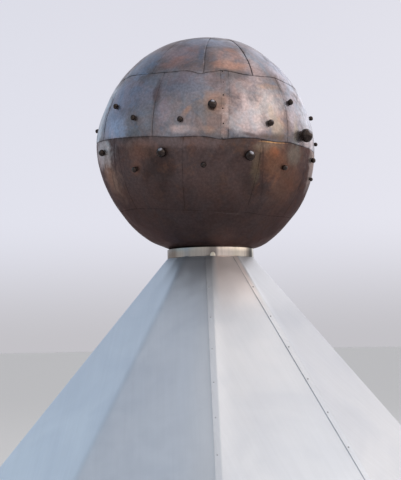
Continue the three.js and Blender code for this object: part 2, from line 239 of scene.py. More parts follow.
# Besides patina, the lower tints hold a painted reflection of the sky on the right limb, marked
# below
LOWER_TINTS_AND_REFLECTIONS = (
    ((0.25, 0.18, 0.175), -15, -4.5, 1100, 100, 0, 0.55),
    ((0.27, 0.14, 0.10), -36, -8, 320, 200, 0, 0.45),
    ((0.24, 0.12, 0.08), -39, -18, 120, 110, 0, 0.4),
    ((0.36, 0.25, 0.18), 31, -4, 330, 90, 6, 0.6),
    ((0.64, 0.36, 0.16), 33, -2.0, 300, 14, 2, 0.85),
    ((0.42, 0.15, 0.08), 35, -6.5, 100, 80, 0, 0.7),
    ((0.30, 0.14, 0.08), 36, -11, 320, 300, 0, 0.6),
    ((0.26, 0.13, 0.085), 48, -22, 340, 480, 0, 0.5),
    ((0.12, 0.065, 0.05), 10, -28, 420, 330, 0, 0.3),
    ((0.38, 0.25, 0.19), -63, -22, 260, 440, 16, 0.75),
    ((0.58, 0.54, 0.54), -69, -7, 370, 310, 6, 0.95),
    ((0.23, 0.21, 0.18), 50, -6, 260, 190, 0, 0.6),
    # Painted reflection of the sky along the right limb
    ((0.60, 0.54, 0.50), 78, -8, 340, 440, 0, 0.7),
    ((0.45, 0.30, 0.27), -67, -39, 60, 40, 0, 0.6),
    ((0.045, 0.03, 0.03), -54, -9, 14, 330, -8, 0.55),
    ((0.045, 0.03, 0.03), -61, -22, 14, 260, -16, 0.45),
    ((0.045, 0.03, 0.03), 28, -8, 14, 300, 8, 0.5),
    ((0.045, 0.03, 0.03), 31, -24, 16, 420, 12, 0.45),
    ((0.21, 0.17, 0.11), 25, -14, 90, 330, 6, 0.4),
    ((0.30, 0.25, 0.24), 16, -40, 230, 10, 0, 0.5),
)


def sizes():
    """The settings that the operators read."""
    scene = bpy.context.scene
    return scene.monument_ball, scene.monument_pedestal


def ball_place():
    """Where the ball stands: its leaning axes and its centre, which the collar's top gives."""
    ball, _ = sizes()
    collar_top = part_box("collar")[1].z
    drop = math.sqrt(ball.radius ** 2 - ball.seat_radius ** 2)
    centre = Vector((0.0, 0.0, collar_top + ball.seam_gap + drop))
    lean = Matrix.Rotation(ball.lean_right, 3, "Y") @ Matrix.Rotation(ball.lean_front, 3, "X")
    return lean, centre


def outward(azimuth, latitude):
    """Unit vectors on the ball's own axes for arrays of azimuths and latitudes in radians."""
    flat = np.cos(latitude)
    return np.stack([flat * np.sin(azimuth), -flat * np.cos(azimuth), np.sin(latitude)], axis=-1)


def eased(value, low, high):
    """Smooth change from 0 to 1 as the values go from low to high."""
    share = np.clip((value - low) / (high - low), 0, 1)
    return share * share * (3 - 2 * share)


# Where the hand-shaped ball leaves the sphere, in degrees. The shoulder and the bulge: the middle
# azimuth, the spread to either side, and the latitudes between which the patch rises and falls.
# Then the latitudes over which the crown falls, points begin to move down as well as in, and the
# bottom swells, which it does more on the right
SHOULDER = (90, 65, (-36, 27), (48, 84))
BULGE = (-90, 60, (-36, -1.8), (-1.8, 20))
CROWN_RISE = (40, 90)
LOWERED_FROM = (-1.8, 28)
FULL_FOOT = (-71, -62)
FULL_HEAD = (-60, -38)
FULLER_RIGHT = 0.25


def soft_patch(azimuth, latitude, middle, spread, foot, head):
    """Share of a soft patch: 1 in its middle, 0 past its spread, its foot and its head."""
    off = np.clip((azimuth - middle) / spread, -1, 1)
    return np.cos(off * math.pi / 2) ** 2 * eased(latitude, *foot) * (1 - eased(latitude, *head))


def hand_shaped(points):
    """Points on the ball's own axes, moved from the true sphere to the hand-shaped ball."""
    ball, _ = sizes()
    x, y, z = np.moveaxis(points, -1, 0)
    sine = z / np.linalg.norm(points, axis=-1)
    latitude, azimuth = np.degrees(np.arcsin(sine)), np.degrees(np.arctan2(x, -y))
    depth = ball.shoulder_depth * soft_patch(azimuth, latitude, *SHOULDER)
    depth -= ball.bulge_height * soft_patch(azimuth, latitude, *BULGE)
    depth += ball.crown_depth * eased(latitude, *CROWN_RISE)
    fuller = eased(latitude, *FULL_FOOT) * (1 - eased(latitude, *FULL_HEAD))
    depth -= ball.bottom_fullness * fuller * (1 + FULLER_RIGHT * np.sin(np.radians(azimuth)))
    lowered = eased(latitude, *LOWERED_FROM)
    inward = depth * (1 - lowered * sine ** 2) / np.sqrt(np.maximum(1 - sine ** 2, TINIER))
    share = np.maximum(1 - inward / np.maximum(np.hypot(x, y), TINY), 0)
    return np.stack([x * share, y * share, z - depth * lowered * sine], axis=-1)


def waves(points, wavelength, seed, count=12):
    """Smooth unevenness of about the given wavelength, with a spread of one."""
    draw = np.random.default_rng(seed)
    ways = draw.normal(size=(count, 3))
    ways *= (2 * math.pi / wavelength) / np.linalg.norm(ways, axis=1, keepdims=True)
    starts = draw.uniform(0, 2 * math.pi, count)
    return np.sin(points @ ways.T + starts).sum(axis=-1) / math.sqrt(count / 2)


def graded(span, step, fine):
    """Distances from 0 to span, close together at both ends and a step apart between."""
    ends = [d for d in fine if d < span / 2]
    first = ends[-1] if ends else 0.0
    inner = max(1, round((span - 2 * first) / step))
    middle = [first + (span - 2 * first) * i / inner for i in range(1, inner)]
    return np.array(ends + middle + [span - d for d in reversed(ends)])


def shell_faces(rows, columns, closed=False):
    """Faces of a sheet with an outer and an inner skin, each a grid of rows and columns."""
    skin = rows * columns
    faces = []
    last = columns if closed else columns - 1
    for i in range(rows - 1):
        for j in range(last):
            a, b = i * columns + j, i * columns + (j + 1) % columns
            c, d = b + columns, a + columns
            faces.append((a, b, c, d))
            faces.append((a + skin, d + skin, c + skin, b + skin))
    for j in range(last):
        a, b = j, (j + 1) % columns
        faces.append((b, a, a + skin, b + skin))
        c, d = a + (rows - 1) * columns, b + (rows - 1) * columns
        faces.append((c, d, d + skin, c + skin))
    if not closed:
        for i in range(rows - 1):
            a, d = i * columns, (i + 1) * columns
            faces.append((a, d, d + skin, a + skin))
            b, c = a + columns - 1, d + columns - 1
            faces.append((c, b, b + skin, c + skin))
    return faces


def write_values(mesh, values):
    """Numbers or vectors of every point, which the materials read by their names."""
    for label, numbers in values.items():
        kind, field = ("FLOAT_VECTOR", "vector") if np.ndim(numbers) == 2 else ("FLOAT", "value")
        layer = mesh.attributes.new(label, kind, "POINT")
        layer.data.foreach_set(field, np.ravel(numbers).astype(np.float32))


def reworked(mesh, work):
    """The mesh changed by one step that works on its points and faces."""
    built = bmesh.new()
    built.from_mesh(mesh)
    work(built)
    built.to_mesh(mesh)
    built.free()


def linked(name, data):
    """A new object in the scene."""
    holder = bpy.data.objects.new(name, data)
    bpy.context.scene.collection.objects.link(holder)
    return holder


def made_piece(name, points, faces, material, values=None, sharp=40):
    """A finished mesh object at the origin, with doubles merged, from points in the row frame."""
    mesh = bpy.data.meshes.new(name)
    mesh.from_pydata([tuple(p) for p in points], [], faces)
    write_values(mesh, values or {})
    reworked(
        mesh, lambda built: bmesh.ops.remove_doubles(built, verts=built.verts, dist=MERGE_REACH))
    mesh.materials.append(material)
    mesh.shade_smooth()
    mesh.set_sharp_from_angle(angle=math.radians(sharp))
    return linked(name, mesh)


def turned_outwards(piece):
    """The piece with all its faces turned to point outwards."""
    reworked(piece.data, lambda built: bmesh.ops.recalc_face_normals(built, faces=built.faces))
    return piece


def seat(piece, slot, *nodes):
    """The piece moves with the frame and stands for solids, which are hidden; the slot is not used.
    """
    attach(piece, BODY)
    if nodes:
        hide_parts(*nodes)


def numbered(base, index):
    """A name with a two-figure number, counted from one."""
    return f"{base}_{index + 1:02d}"


def seam_pairs(seams):
    """Seams in pairs, the last one closing the circle."""
    return zip(seams, seams[1:] + (seams[0] + 360,))


# Finishes: shared node groups and the materials that use them
NODE_SPACING = 220


def opaque(rgb):
    """A colour with full alpha, as a colour socket takes it."""
    return (*rgb, 1.0)


class Pen:
    """Adds nodes to one tree and joins them."""

    def __init__(self, tree):
        self.tree = tree

    def feed(self, socket, value):
        """Sets a number, a vector, a colour or another node's output on a socket."""
        if isinstance(value, bpy.types.NodeSocket):
            self.tree.links.new(value, socket)
        else:
            socket.default_value = opaque(value) if socket.type == "RGBA" else value

    def add(self, kind, inputs=None, **settings):
        """A node with its settings and its inputs."""
        node = self.tree.nodes.new(kind)
        node.location = (NODE_SPACING * len(self.tree.nodes), 0)
        for name, value in settings.items():
            setattr(node, name, value)
        for name, value in (inputs or {}).items():
            self.feed(node.inputs[name], value)
        return node

    def math(self, operation, first, second=0.0):
        return self.add("ShaderNodeMath", {0: first, 1: second}, operation=operation).outputs[0]

    def times(self, *shares):
        """Product of masks and numbers."""
        product = shares[0]
        for share in shares[1:]:
            product = self.math("MULTIPLY", product, share)
        return product

    def vector(self, operation, first, second=(0, 0, 0), result=0):
        inputs = {0: first, 1: second}
        return self.add("ShaderNodeVectorMath", inputs, operation=operation).outputs[result]

    def scaled(self, vector, scale):
        """A vector or colour times a number."""
        inputs = {0: vector, "Scale": scale}
        return self.add("ShaderNodeVectorMath", inputs, operation="SCALE").outputs[0]

    def parts(self, vector):
        return self.add("ShaderNodeSeparateXYZ", {0: vector}).outputs

    def attribute(self, name, output="Fac"):
        """What a piece keeps for each of its points under a name."""
        return self.add("ShaderNodeAttribute", attribute_name=name).outputs[output]

    def noise(self, place, scale, detail, roughness, distortion=0.0):
        return self.add("ShaderNodeTexNoise", {
            "Vector": place, "Scale": scale, "Detail": detail, "Roughness": roughness,
            "Distortion": distortion}).outputs[0]

    def step(self, value, low, high, start=0.0, end=1.0, curve="SMOOTHSTEP"):
        """Change from start to end as the value goes from low to high."""
        inputs = {"Value": value, "From Min": low, "From Max": high, "To Min": start, "To Max": end}
        return self.add("ShaderNodeMapRange", inputs, interpolation_type=curve).outputs[0]

    def mix(self, share, first, second, blend="MIX"):
        inputs = {0: share, 6: first, 7: second}
        return self.add("ShaderNodeMix", inputs, data_type="RGBA", blend_type=blend).outputs[2]

    def group(self, make, inputs):
        """A shared node group, which its function builds once and names after itself."""
        tree = bpy.data.node_groups.get(make.__name__) or make()
        return self.add("ShaderNodeGroup", inputs, node_tree=tree).outputs


def new_sockets(tree, way, sockets):
    """Named sockets on a node group, each given as its label, its kind and perhaps its default."""
    for label, kind, *default in sockets:
        socket = tree.interface.new_socket(label, in_out=way, socket_type=kind)
        if default:
            socket.default_value = default[0]


def new_group(name, inputs, outputs):
    """An empty shader group with its sockets, a pen for it and its input and output nodes."""
    tree = bpy.data.node_groups.new(name, "ShaderNodeTree")
    new_sockets(tree, "INPUT", inputs)
    new_sockets(tree, "OUTPUT", outputs)
    pen = Pen(tree)
    return tree, pen, pen.add("NodeGroupInput").outputs, pen.add("NodeGroupOutput").inputs


FLOAT = "NodeSocketFloat"
VECTOR = "NodeSocketVector"


# Grains of the mottle as (socket, scale, detail, roughness, distortion)
MOTTLE_GRAINS = (
    ("Broad", 3.1, 3.0, 0.55, 0.7), ("Middle", 12.0, 4.0, 0.6, 0.4), ("Fine", 62.0, 4.0, 0.65, 0.0),
)


def worked_mottle():
    """Unevenness of a hand-worked and weathered surface: broad, middle and fine."""
    tree, pen, given, result = new_group(
        "worked_mottle", [("Place", VECTOR), ("Scale", FLOAT, 1.0)],
        [("Broad", FLOAT), ("Middle", FLOAT), ("Fine", FLOAT)])
    place = pen.scaled(given["Place"], given["Scale"])
    for label, *grain in MOTTLE_GRAINS:
        pen.feed(result[label], pen.noise(place, *grain))
    return tree


def ragged_patch():
    """Mask of one soft, ragged oval on the surface."""
    tree, pen, given, result = new_group(
        "ragged_patch",
        [("Place", VECTOR), ("Centre", VECTOR), ("Turn", VECTOR), ("Reach", VECTOR),
         ("Raggedness", FLOAT, 0.5), ("Grain", FLOAT, 0.5)],
        [("Mask", FLOAT)])
    away = pen.vector("SUBTRACT", given["Place"], given["Centre"])
    inputs = {"Vector": away, "Rotation": given["Turn"]}
    turned = pen.add("ShaderNodeVectorRotate", inputs, rotation_type="EULER_XYZ").outputs[0]
    far = pen.vector("LENGTH", pen.vector("DIVIDE", turned, given["Reach"]), result="Value")
    ragged = pen.times(pen.math("SUBTRACT", given["Grain"], 0.5), given["Raggedness"])
    pen.feed(result["Mask"], pen.step(pen.math("ADD", far, ragged), 1.1, 0.25))
    return tree


def seam_dirt():
    """Masks for the dark line in a seam and the smudge beside it, from the distance in mm."""
    tree, pen, given, result = new_group(
        "seam_dirt",
        [("Distance", FLOAT, 100.0), ("Line", FLOAT, 4.0), ("Smudge", FLOAT, 30.0),
         ("Grain", FLOAT, 0.5)],
        [("Line", FLOAT), ("Smudge", FLOAT)])
    line = pen.step(given["Distance"], pen.times(given["Line"], 0.45), given["Line"], 1.0, 0.0)
    broken = pen.step(given["Grain"], 0.32, 0.56, 0.5, 1.0)
    pen.feed(result["Line"], pen.times(line, broken))
    smudge = pen.step(given["Distance"], 0.0, given["Smudge"], 1.0, 0.0)
    patchy = pen.step(given["Grain"], 0.42, 0.72)
    pen.feed(result["Smudge"], pen.times(smudge, patchy))
    return tree


def streaks():
    """Fine lines that run one way, as brushing or rain leaves them."""
    tree, pen, given, result = new_group(
        "streaks", [("Place", VECTOR), ("Stretch", VECTOR, (60.0, 60.0, 1.0))],
        [("Fine", FLOAT), ("Broad", FLOAT)])
    drawn = pen.vector("MULTIPLY", given["Place"], given["Stretch"])
    pen.feed(result["Fine"], pen.noise(drawn, scale=1.0, detail=3.0, roughness=0.6))
    pen.feed(result["Broad"], pen.noise(drawn, scale=0.18, detail=2.0, roughness=0.5))
    return tree


def new_material(name):
    """An empty material with a pen and the inputs of its principled shader."""
    material = bpy.data.materials.new(name)
    material.use_nodes = True
    material.node_tree.nodes.clear()
    pen = Pen(material.node_tree)
    shader = pen.add("ShaderNodeBsdfPrincipled")
    pen.add("ShaderNodeOutputMaterial", {"Surface": shader.outputs[0]})
    return material, pen, shader.inputs


def finish(name, paint, **details):
    """The material of that name, which is painted when it is first asked for."""
    found = bpy.data.materials.get(name)
    if found:
        return found
    material, pen, surface = new_material(name)
    paint(pen, surface, **details)
    return material


def cover(pen, surface, base, rough, height, metallic, strength, depth):
    """Joins a colour, a roughness and a fine relief to the principled shader."""
    relief = pen.add("ShaderNodeBump", {"Height": height, "Strength": strength, "Distance": depth})
    surface["Metallic"].default_value = metallic
    for label, value in (("Base Color", base), ("Roughness", rough), ("Normal", relief.outputs[0])):
        pen.feed(surface[label], value)


def object_place(pen):
    """Object coordinates, which are the row frame's, as every piece sits at the origin."""
    return pen.add("ShaderNodeTexCoord").outputs["Object"]


def turn_of(pen, place):
    """Azimuth of a place about the pedestal's axis in degrees, from the front towards the right."""
    x, y, _ = pen.parts(place)
    return pen.math("DEGREES", pen.math("ARCTAN2", x, pen.times(y, -1.0)))


def ball_coordinates(pen):
    """Object coordinates moved to the ball's centre and turned to its leaning axes."""
    lean, centre = ball_place()
    inputs = {"Vector": object_place(pen), "Location": centre, "Rotation": lean.to_euler("XYZ")}
    return pen.add("ShaderNodeMapping", inputs, vector_type="TEXTURE").outputs[0]


PATCH_DEPTH = 0.5
PATCH_RAGGEDNESS = 1.6


def tinted(pen, ground, place, grain, tints):
    """The ground colour with soft patches laid over it in order."""
    ball, _ = sizes()
    for tint, azimuth, latitude, wide, high, tilt, strength in tints:
        around, up = math.radians(azimuth), math.radians(latitude)
        centre = outward(np.array(around), np.array(up)) * ball.radius
        facing = Matrix.Rotation(up, 3, "X") @ Matrix.Rotation(-around, 3, "Z")
        turned = Matrix.Rotation(math.radians(tilt), 3, "Y") @ facing
        mask = pen.group(ragged_patch, {
            "Place": place, "Centre": tuple(centre), "Turn": turned.to_euler("XYZ"),
            "Reach": (wide * MM / 2, PATCH_DEPTH, high * MM / 2), "Raggedness": PATCH_RAGGEDNESS,
            "Grain": grain})["Mask"]
        ground = pen.mix(pen.times(mask, strength), ground, tint)
    return ground


def cap_line(pen, base, place):
    """The thin line at the edge of the small cap on top of the ball."""
    sine = pen.parts(pen.vector("NORMALIZE", place))[2]
    away = pen.math("ABSOLUTE", pen.math("SUBTRACT", sine, math.sin(math.radians(CAP_LATITUDE))))
    return pen.mix(pen.step(away, 0.003, 0.008, 0.75, 0.0), base, (0.06, 0.075, 0.085))


def paint_copper(pen, surface, ground, deep, bloom, tints, edge, roughness, line, smudge, tinge):
    """Weathered copper sheet: a mottled ground, listed tints of patina with painted reflections and
    highlights, painted shade towards the bottom, and dirt in the seams.
    """
    colours = bpy.context.scene.monument_copper
    place = ball_coordinates(pen)
    mottle = pen.group(worked_mottle, {"Place": place, "Scale": 1.0})
    mark = pen.attribute("mark")
    dirt = pen.group(seam_dirt, {
        "Distance": pen.attribute("seam"), "Line": line, "Smudge": smudge,
        "Grain": mottle["Middle"]})
    base = pen.mix(pen.step(mottle["Broad"], 0.38, 0.66), ground, deep)
    base = pen.mix(pen.step(mottle["Middle"], 0.5, 0.78, 0.0, 0.5), base, bloom)
    base = tinted(pen, base, place, mottle["Middle"], tints)
    # Painted shade: the sheets grow darker towards the bottom of the ball, for its shaded underside
    base = pen.mix(pen.step(pen.parts(place)[2], -0.22, -0.5, 0.0, 0.75), base, colours.black_brown)
    base = cap_line(pen, base, place)
    blotch = pen.noise(place, scale=8.5, detail=3.0, roughness=0.5, distortion=0.9)
    hue = pen.mix(pen.step(blotch, 0.36, 0.64), (0.87, 0.97, 1.05), (1.17, 0.99, 0.95))
    base = pen.mix(tinge, base, hue, "MULTIPLY")
    base = pen.mix(1.0, base, pen.step(mottle["Fine"], 0.3, 0.75, 0.82, 1.16), "MULTIPLY")
    base = pen.mix(pen.times(dirt["Smudge"], mark, 0.6), base, colours.dirt)
    base = pen.mix(pen.times(dirt["Line"], mark), base, colours.dirt)
    rough = pen.step(mottle["Middle"], 0.3, 0.75, roughness - 0.07, roughness + 0.12)
    rough = pen.math("ADD", rough, pen.times(dirt["Line"], 0.35))
    height = pen.math("ADD", pen.times(mottle["Middle"], 0.8), pen.times(mottle["Fine"], 0.2))
    surface["Specular Tint"].default_value = opaque(edge)
    cover(pen, surface, base, rough, height, metallic=0.85, strength=0.35, depth=4 * MM)


def upper_copper():
    """Mauve and blue-grey copper of the crown and the upper band."""
    colours = bpy.context.scene.monument_copper
    return finish(
        "upper_copper", paint_copper, ground=colours.mauve, deep=colours.umber, bloom=colours.bloom,
        tints=UPPER_TINTS_AND_REFLECTIONS, edge=(1.0, 1.0, 1.0), roughness=0.36, line=4.6, smudge=34.0, tinge=0.6)


def lower_copper():
    """Dark brown copper of the lower band and the bottom."""
    colours = bpy.context.scene.monument_copper
    return finish(
        "lower_copper", paint_copper, ground=colours.dark_brown, deep=colours.black_brown,
        bloom=(0.23, 0.12, 0.08), tints=LOWER_TINTS_AND_REFLECTIONS, edge=(0.55, 0.46, 0.46), roughness=0.42,
        line=3.6, smudge=26.0, tinge=0.35)


def paint_bronze(pen, surface):
    """Dark cast bronze with a painted highlight, brighter where the piece's outer attribute says.
    """
    colours = bpy.context.scene.monument_copper
    mottle = pen.group(worked_mottle, {"Place": ball_coordinates(pen), "Scale": 3.0})
    # Painted highlight: a pale bluish spot on the upper side of each stud, where the outer
    # attribute is high
    painted_highlight = pen.step(pen.attribute("outer"), 0.15, 0.95)
    painted_highlight = pen.times(painted_highlight, pen.step(mottle["Middle"], 0.2, 0.5, 0.4, 1.0), 0.72)
    base = pen.mix(pen.step(mottle["Middle"], 0.35, 0.7), colours.bronze, (0.035, 0.025, 0.023))
    base = pen.mix(painted_highlight, base, (0.44, 0.44, 0.50))
    rough = pen.step(mottle["Fine"], 0.3, 0.7, 0.15, 0.28)
    cover(pen, surface, base, rough, mottle["Fine"], metallic=0.9, strength=0.4, depth=2 * MM)


def stud_bronze():
    """Bronze of the studs and of the strip's rivets."""
    return finish("cast_stud_bronze", paint_bronze)


# Tones round the collar as (azimuth, colour): mostly painted reflections of bright and dark
# surroundings and a painted glint at 75 degrees, fixed to the band by azimuth
COLLAR_REFLECTIONS = (
    (-180, (0.45, 0.41, 0.37)), (-75, (0.27, 0.22, 0.19)), (-54, (0.27, 0.22, 0.19)),
    (-47, (0.46, 0.42, 0.38)), (-39, (0.45, 0.42, 0.39)), (-32, (0.37, 0.38, 0.40)),
    (-25, (0.44, 0.41, 0.38)), (-7, (0.45, 0.41, 0.38)), (1, (0.24, 0.21, 0.20)),
    (7, (0.31, 0.27, 0.26)), (11, (0.83, 0.71, 0.64)), (28, (0.83, 0.72, 0.64)),
    (34, (0.93, 0.82, 0.70)), (50, (0.90, 0.79, 0.68)), (57, (0.42, 0.36, 0.31)),
    (64, (0.09, 0.08, 0.07)), (71, (0.02, 0.02, 0.02)), (75, (0.95, 0.93, 0.84)),
    (90, (0.66, 0.61, 0.56)), (180, (0.45, 0.41, 0.37)),
)


def paint_steel(pen, surface, stained):
    """Brushed steel with upright streaks, in one tone or with the band's painted reflections and
    glint.
    """
    colours = bpy.context.scene.monument_metal
    place = object_place(pen)
    lines = pen.group(streaks, {"Place": place, "Stretch": (130.0, 130.0, 6.0)})
    base = colours.steel
    if stained:
        share = pen.step(turn_of(pen, place), -180, 180, curve="LINEAR")
        ramp = pen.add("ShaderNodeValToRGB", {0: share})
        stops = ramp.color_ramp.elements
        for azimuth, tone in COLLAR_REFLECTIONS[1:-1]:
            stops.new((azimuth + 180) / 360).color = opaque(tone)
        stops[0].color, stops[-1].color = opaque(COLLAR_REFLECTIONS[0][1]), opaque(COLLAR_REFLECTIONS[-1][1])
        base = ramp.outputs[0]
    base = pen.mix(pen.step(lines["Broad"], 0.4, 0.62, 0.0, 0.2), base, (0.36, 0.33, 0.30))
    base = pen.mix(pen.step(lines["Fine"], 0.45, 0.72, 0.0, 0.22), base, (0.22, 0.20, 0.18))
    rough = pen.step(lines["Fine"], 0.3, 0.7, 0.28, 0.40)
    cover(pen, surface, base, rough, lines["Fine"], metallic=1.0, strength=0.12, depth=1 * MM)


# Painted light and shade over the pedestal's sheets: steps from one azimuth to another in degrees,
# steps from one distance down the slope to another in metres, colour, strength and way of mixing.
# They make the left faces bluer, the top of the front-right face lighter and warmer, the lower left
# face lighter, the top of the right face darker and the middle of the front-right and right faces
# darker
SIDE_LIGHT_AND_SHADE = (
    (((3, -12),), (), (0.965, 0.995, 1.04), 1.0, "MULTIPLY"),
    (((1, 8), (38, 34)), ((0.55, 0.1),), (1.0, 0.90, 0.87), 0.9, "MIX"),
    (((-33, -40),), ((0.5, 1.6),), (1.05, 1.05, 1.045), 1.0, "MULTIPLY"),
    (((37, 44),), ((1.1, 0.3),), (0.87, 0.87, 0.87), 1.0, "MULTIPLY"),
    (((1, 8), (100, 75)), ((0.25, 0.55), (1.7, 0.9)), (0.885, 0.89, 0.90), 1.0, "MULTIPLY"),
)


def paint_sheet(pen, surface):
    """Matt grey sheet with faint streaks down it, painted shade at the top under the collar,
    painted light and shade over the faces and grime along the laps.
    """
    colours = bpy.context.scene.monument_metal
    place = pen.attribute("place", "Vector")
    lines = pen.group(streaks, {"Place": place, "Stretch": (38.0, 1.6, 1.0)})
    mottle = pen.group(worked_mottle, {"Place": object_place(pen), "Scale": 0.7})
    dirt = pen.group(seam_dirt, {
        "Distance": pen.attribute("seam"), "Line": 3.4, "Smudge": 22.0, "Grain": mottle["Middle"]})
    base = pen.mix(pen.step(mottle["Broad"], 0.35, 0.7), colours.sheet, colours.weathered)
    base = pen.mix(pen.step(lines["Broad"], 0.52, 0.74, 0.0, 0.15), base, colours.weathered)
    base = pen.mix(1.0, base, pen.step(lines["Fine"], 0.25, 0.75, 0.982, 1.014), "MULTIPLY")
    base = pen.mix(1.0, base, pen.step(mottle["Middle"], 0.3, 0.7, 0.985, 1.012), "MULTIPLY")
    down = pen.parts(place)[1]
    around = turn_of(pen, object_place(pen))
    # Painted shade at the top of the front faces under the collar, for the ball's shadow and its
    # dark reflection in the sheet
    front = pen.times(
        pen.step(around, -56, -46), pen.step(around, 0, 7, 0.9, 0.1), pen.step(around, 39, 30))
    under_collar_shade = pen.math("MAXIMUM", pen.step(down, 0, 0.3, 0.45, 0.0), pen.step(down, 0, 0.1, 0.6, 0.0))
    base = pen.mix(pen.times(under_collar_shade, front), base, colours.grime)
    # Painted light and shade over the faces, as the table above lists
    for sides, depths, tone, strength, blend in SIDE_LIGHT_AND_SHADE:
        steps = [pen.step(around, *ends) for ends in sides]
        steps += [pen.step(down, *ends) for ends in depths]
        base = pen.mix(pen.times(*steps, strength), base, tone, blend)
    base = pen.mix(pen.times(dirt["Smudge"], 0.12), base, colours.grime)
    washed = pen.step(down, 0.25, 0.6, 1.0, 0.22)
    base = pen.mix(pen.times(dirt["Line"], pen.attribute("mark"), washed), base, colours.grime)
    rough = pen.step(mottle["Middle"], 0.3, 0.7, 0.38, 0.46)
    cover(pen, surface, base, rough, mottle["Fine"], metallic=0.85, strength=0.08, depth=1 * MM)


def pedestal_sheet():
    """Finish of the pedestal's sheets and of the plate on top."""
    return finish("weathered_pedestal_sheet", paint_sheet)


def paint_fasteners(pen, surface):
    """Dull steel heads, lighter at the front and darker on the right."""
    around = turn_of(pen, object_place(pen))
    base = pen.mix(pen.step(around, 12, 30), (0.60, 0.61, 0.64), (0.36, 0.37, 0.39))
    pen.feed(surface["Base Color"], base)
    surface["Metallic"].default_value = 0.85
    surface["Roughness"].default_value = 0.42


# Ball: the distances from a seam at which the mesh has a line, how far a seam's mark reaches into
# its sheet, the largest share of a sheet's width that a gap takes at its tip, the distance that is
# given where there is no seam, and the share of a seam's fall that stays where its mark is 0
EDGE_STEPS = tuple(step * MM for step in (0.0, 0.7, 1.6, 2.8, 4.4, 7, 12, 20))
MARK_REACH = 6 * MM
MOST_INSET = 0.4
NO_SEAM = 1.0
LEAST_FALL = 0.05
# Waves beaten into the sheets as (wavelength on a ball of radius one, seed, height in mm), and the
# wavelength and seeds by which the seams stray
SHEET_WAVES = ((0.62, 21, 1.3), (0.22, 22, 0.55), (0.09, 23, 0.16))
DRIFT_WAVE = 0.55
DRIFT_SEEDS = (11, 12, 13)


def strayed_latitude(azimuth, latitude):
    """Latitudes moved with the level seams where these were dressed off their lines."""
    ball, _ = sizes()
    moved = latitude
    for around, up, rise, wide in SEAM_STRAYS:
        turned = (azimuth - math.radians(around) + math.pi) % (2 * math.pi) - math.pi
        along = turned * ball.radius * math.cos(math.radians(up)) / (wide * MM)
        away = (latitude - math.radians(up)) * ball.radius / STRAY_REACH
        moved = moved + rise * MM / ball.radius * np.exp(-along ** 2 - away ** 2)
    return moved


def ball_surface(azimuth, latitude, fall):
    """Points of the ball's outer skin in the row frame, lowered by a fall, and their facing."""
    ball, _ = sizes()
    latitude = strayed_latitude(azimuth, latitude)
    ways = outward(azimuth, latitude)
    drift = np.stack([waves(ways, DRIFT_WAVE, seed) for seed in DRIFT_SEEDS], axis=-1)
    drift -= (drift * ways).sum(axis=-1, keepdims=True) * ways
    strayed = ways + drift * (ball.wander / ball.radius)
    strayed /= np.linalg.norm(strayed, axis=-1, keepdims=True)
    height = sum(waves(ways, span, seed) * high * MM for span, seed, high in SHEET_WAVES)
    lean, centre = ball_place()
    lean = np.array(lean).T
    points = hand_shaped(strayed * (ball.radius + height - fall)[..., None])
    return points @ lean + np.array(centre), strayed @ lean


def seam_fall(distance, mark):
    """How far a sheet is dressed in at a distance from a seam of the given mark."""
    ball, _ = sizes()
    groove = ball.groove_depth * np.exp(-((distance / ball.groove_width) ** 2))
    pinched = ball.pinch * np.exp(-distance / ball.pinch_width)
    return (groove + pinched) * (LEAST_FALL + (1 - LEAST_FALL) * mark)


def curved_sheet(name, low, high, start, stop, marks, material):
    """One sheet of the ball between two latitudes and two upright seams, or all the way round.

    The marks are those of its lower, upper, left and right seams.
    """
    ball, _ = sizes()
    closed = stop - start >= 2 * math.pi
    tip = abs(high) >= math.pi / 2 - TINY
    bottom = abs(low) >= math.pi / 2 - TINY
    up = graded(ball.radius * (high - low), ball.grid_step, EDGE_STEPS) / ball.radius
    widest = math.cos(0.0 if low < 0 < high else min(abs(low), abs(high)))
    span = ball.radius * widest * (stop - start)
    if closed:
        across = np.linspace(0, 1, round(span / ball.grid_step), endpoint=False)
    else:
        across = graded(span, ball.grid_step, EDGE_STEPS) / span
    latitude, share = np.meshgrid(low + up, across, indexing="ij")
    reach = np.maximum(ball.radius * np.cos(latitude), TINY)
    inset = np.zeros_like(share)
    far = np.full_like(share, NO_SEAM)
    from_left, from_right = far, far
    if not closed:
        half = np.minimum(ball.seam_gap / 2 / reach, MOST_INSET * (stop - start))
        inset = half * (1 - 2 * share)
        from_left = share * (stop - start) * reach
        from_right = (1 - share) * (stop - start) * reach
    azimuth = start + (stop - start) * share + inset
    gap = ball.seam_gap / 2 / ball.radius
    shrink = (0 if bottom else gap) * (1 - (latitude - low) / (high - low))
    shrink -= (0 if tip else gap) * (latitude - low) / (high - low)
    from_low = far if bottom else (latitude - low) * ball.radius
    from_high = far if tip else (high - latitude) * ball.radius
    distances = np.stack([from_low, from_high, from_left, from_right])
    each = np.array(marks)[:, None, None]
    nearness = np.exp(-distances / MARK_REACH) + TINIER
    mark = (nearness * each).sum(axis=0) / nearness.sum(axis=0)
    outer, ways = ball_surface(azimuth, latitude + shrink, seam_fall(distances, each).sum(axis=0))
    inner = outer - ways * ball.sheet
    rows, columns = share.shape
    points = np.concatenate([outer.reshape(-1, 3), inner.reshape(-1, 3)])
    seam = distances.min(axis=0) / MM
    values = {"seam": np.tile(seam.ravel(), 2), "mark": np.tile(mark.ravel(), 2)}
    return made_piece(name, points, shell_faces(rows, columns, closed), material, values)


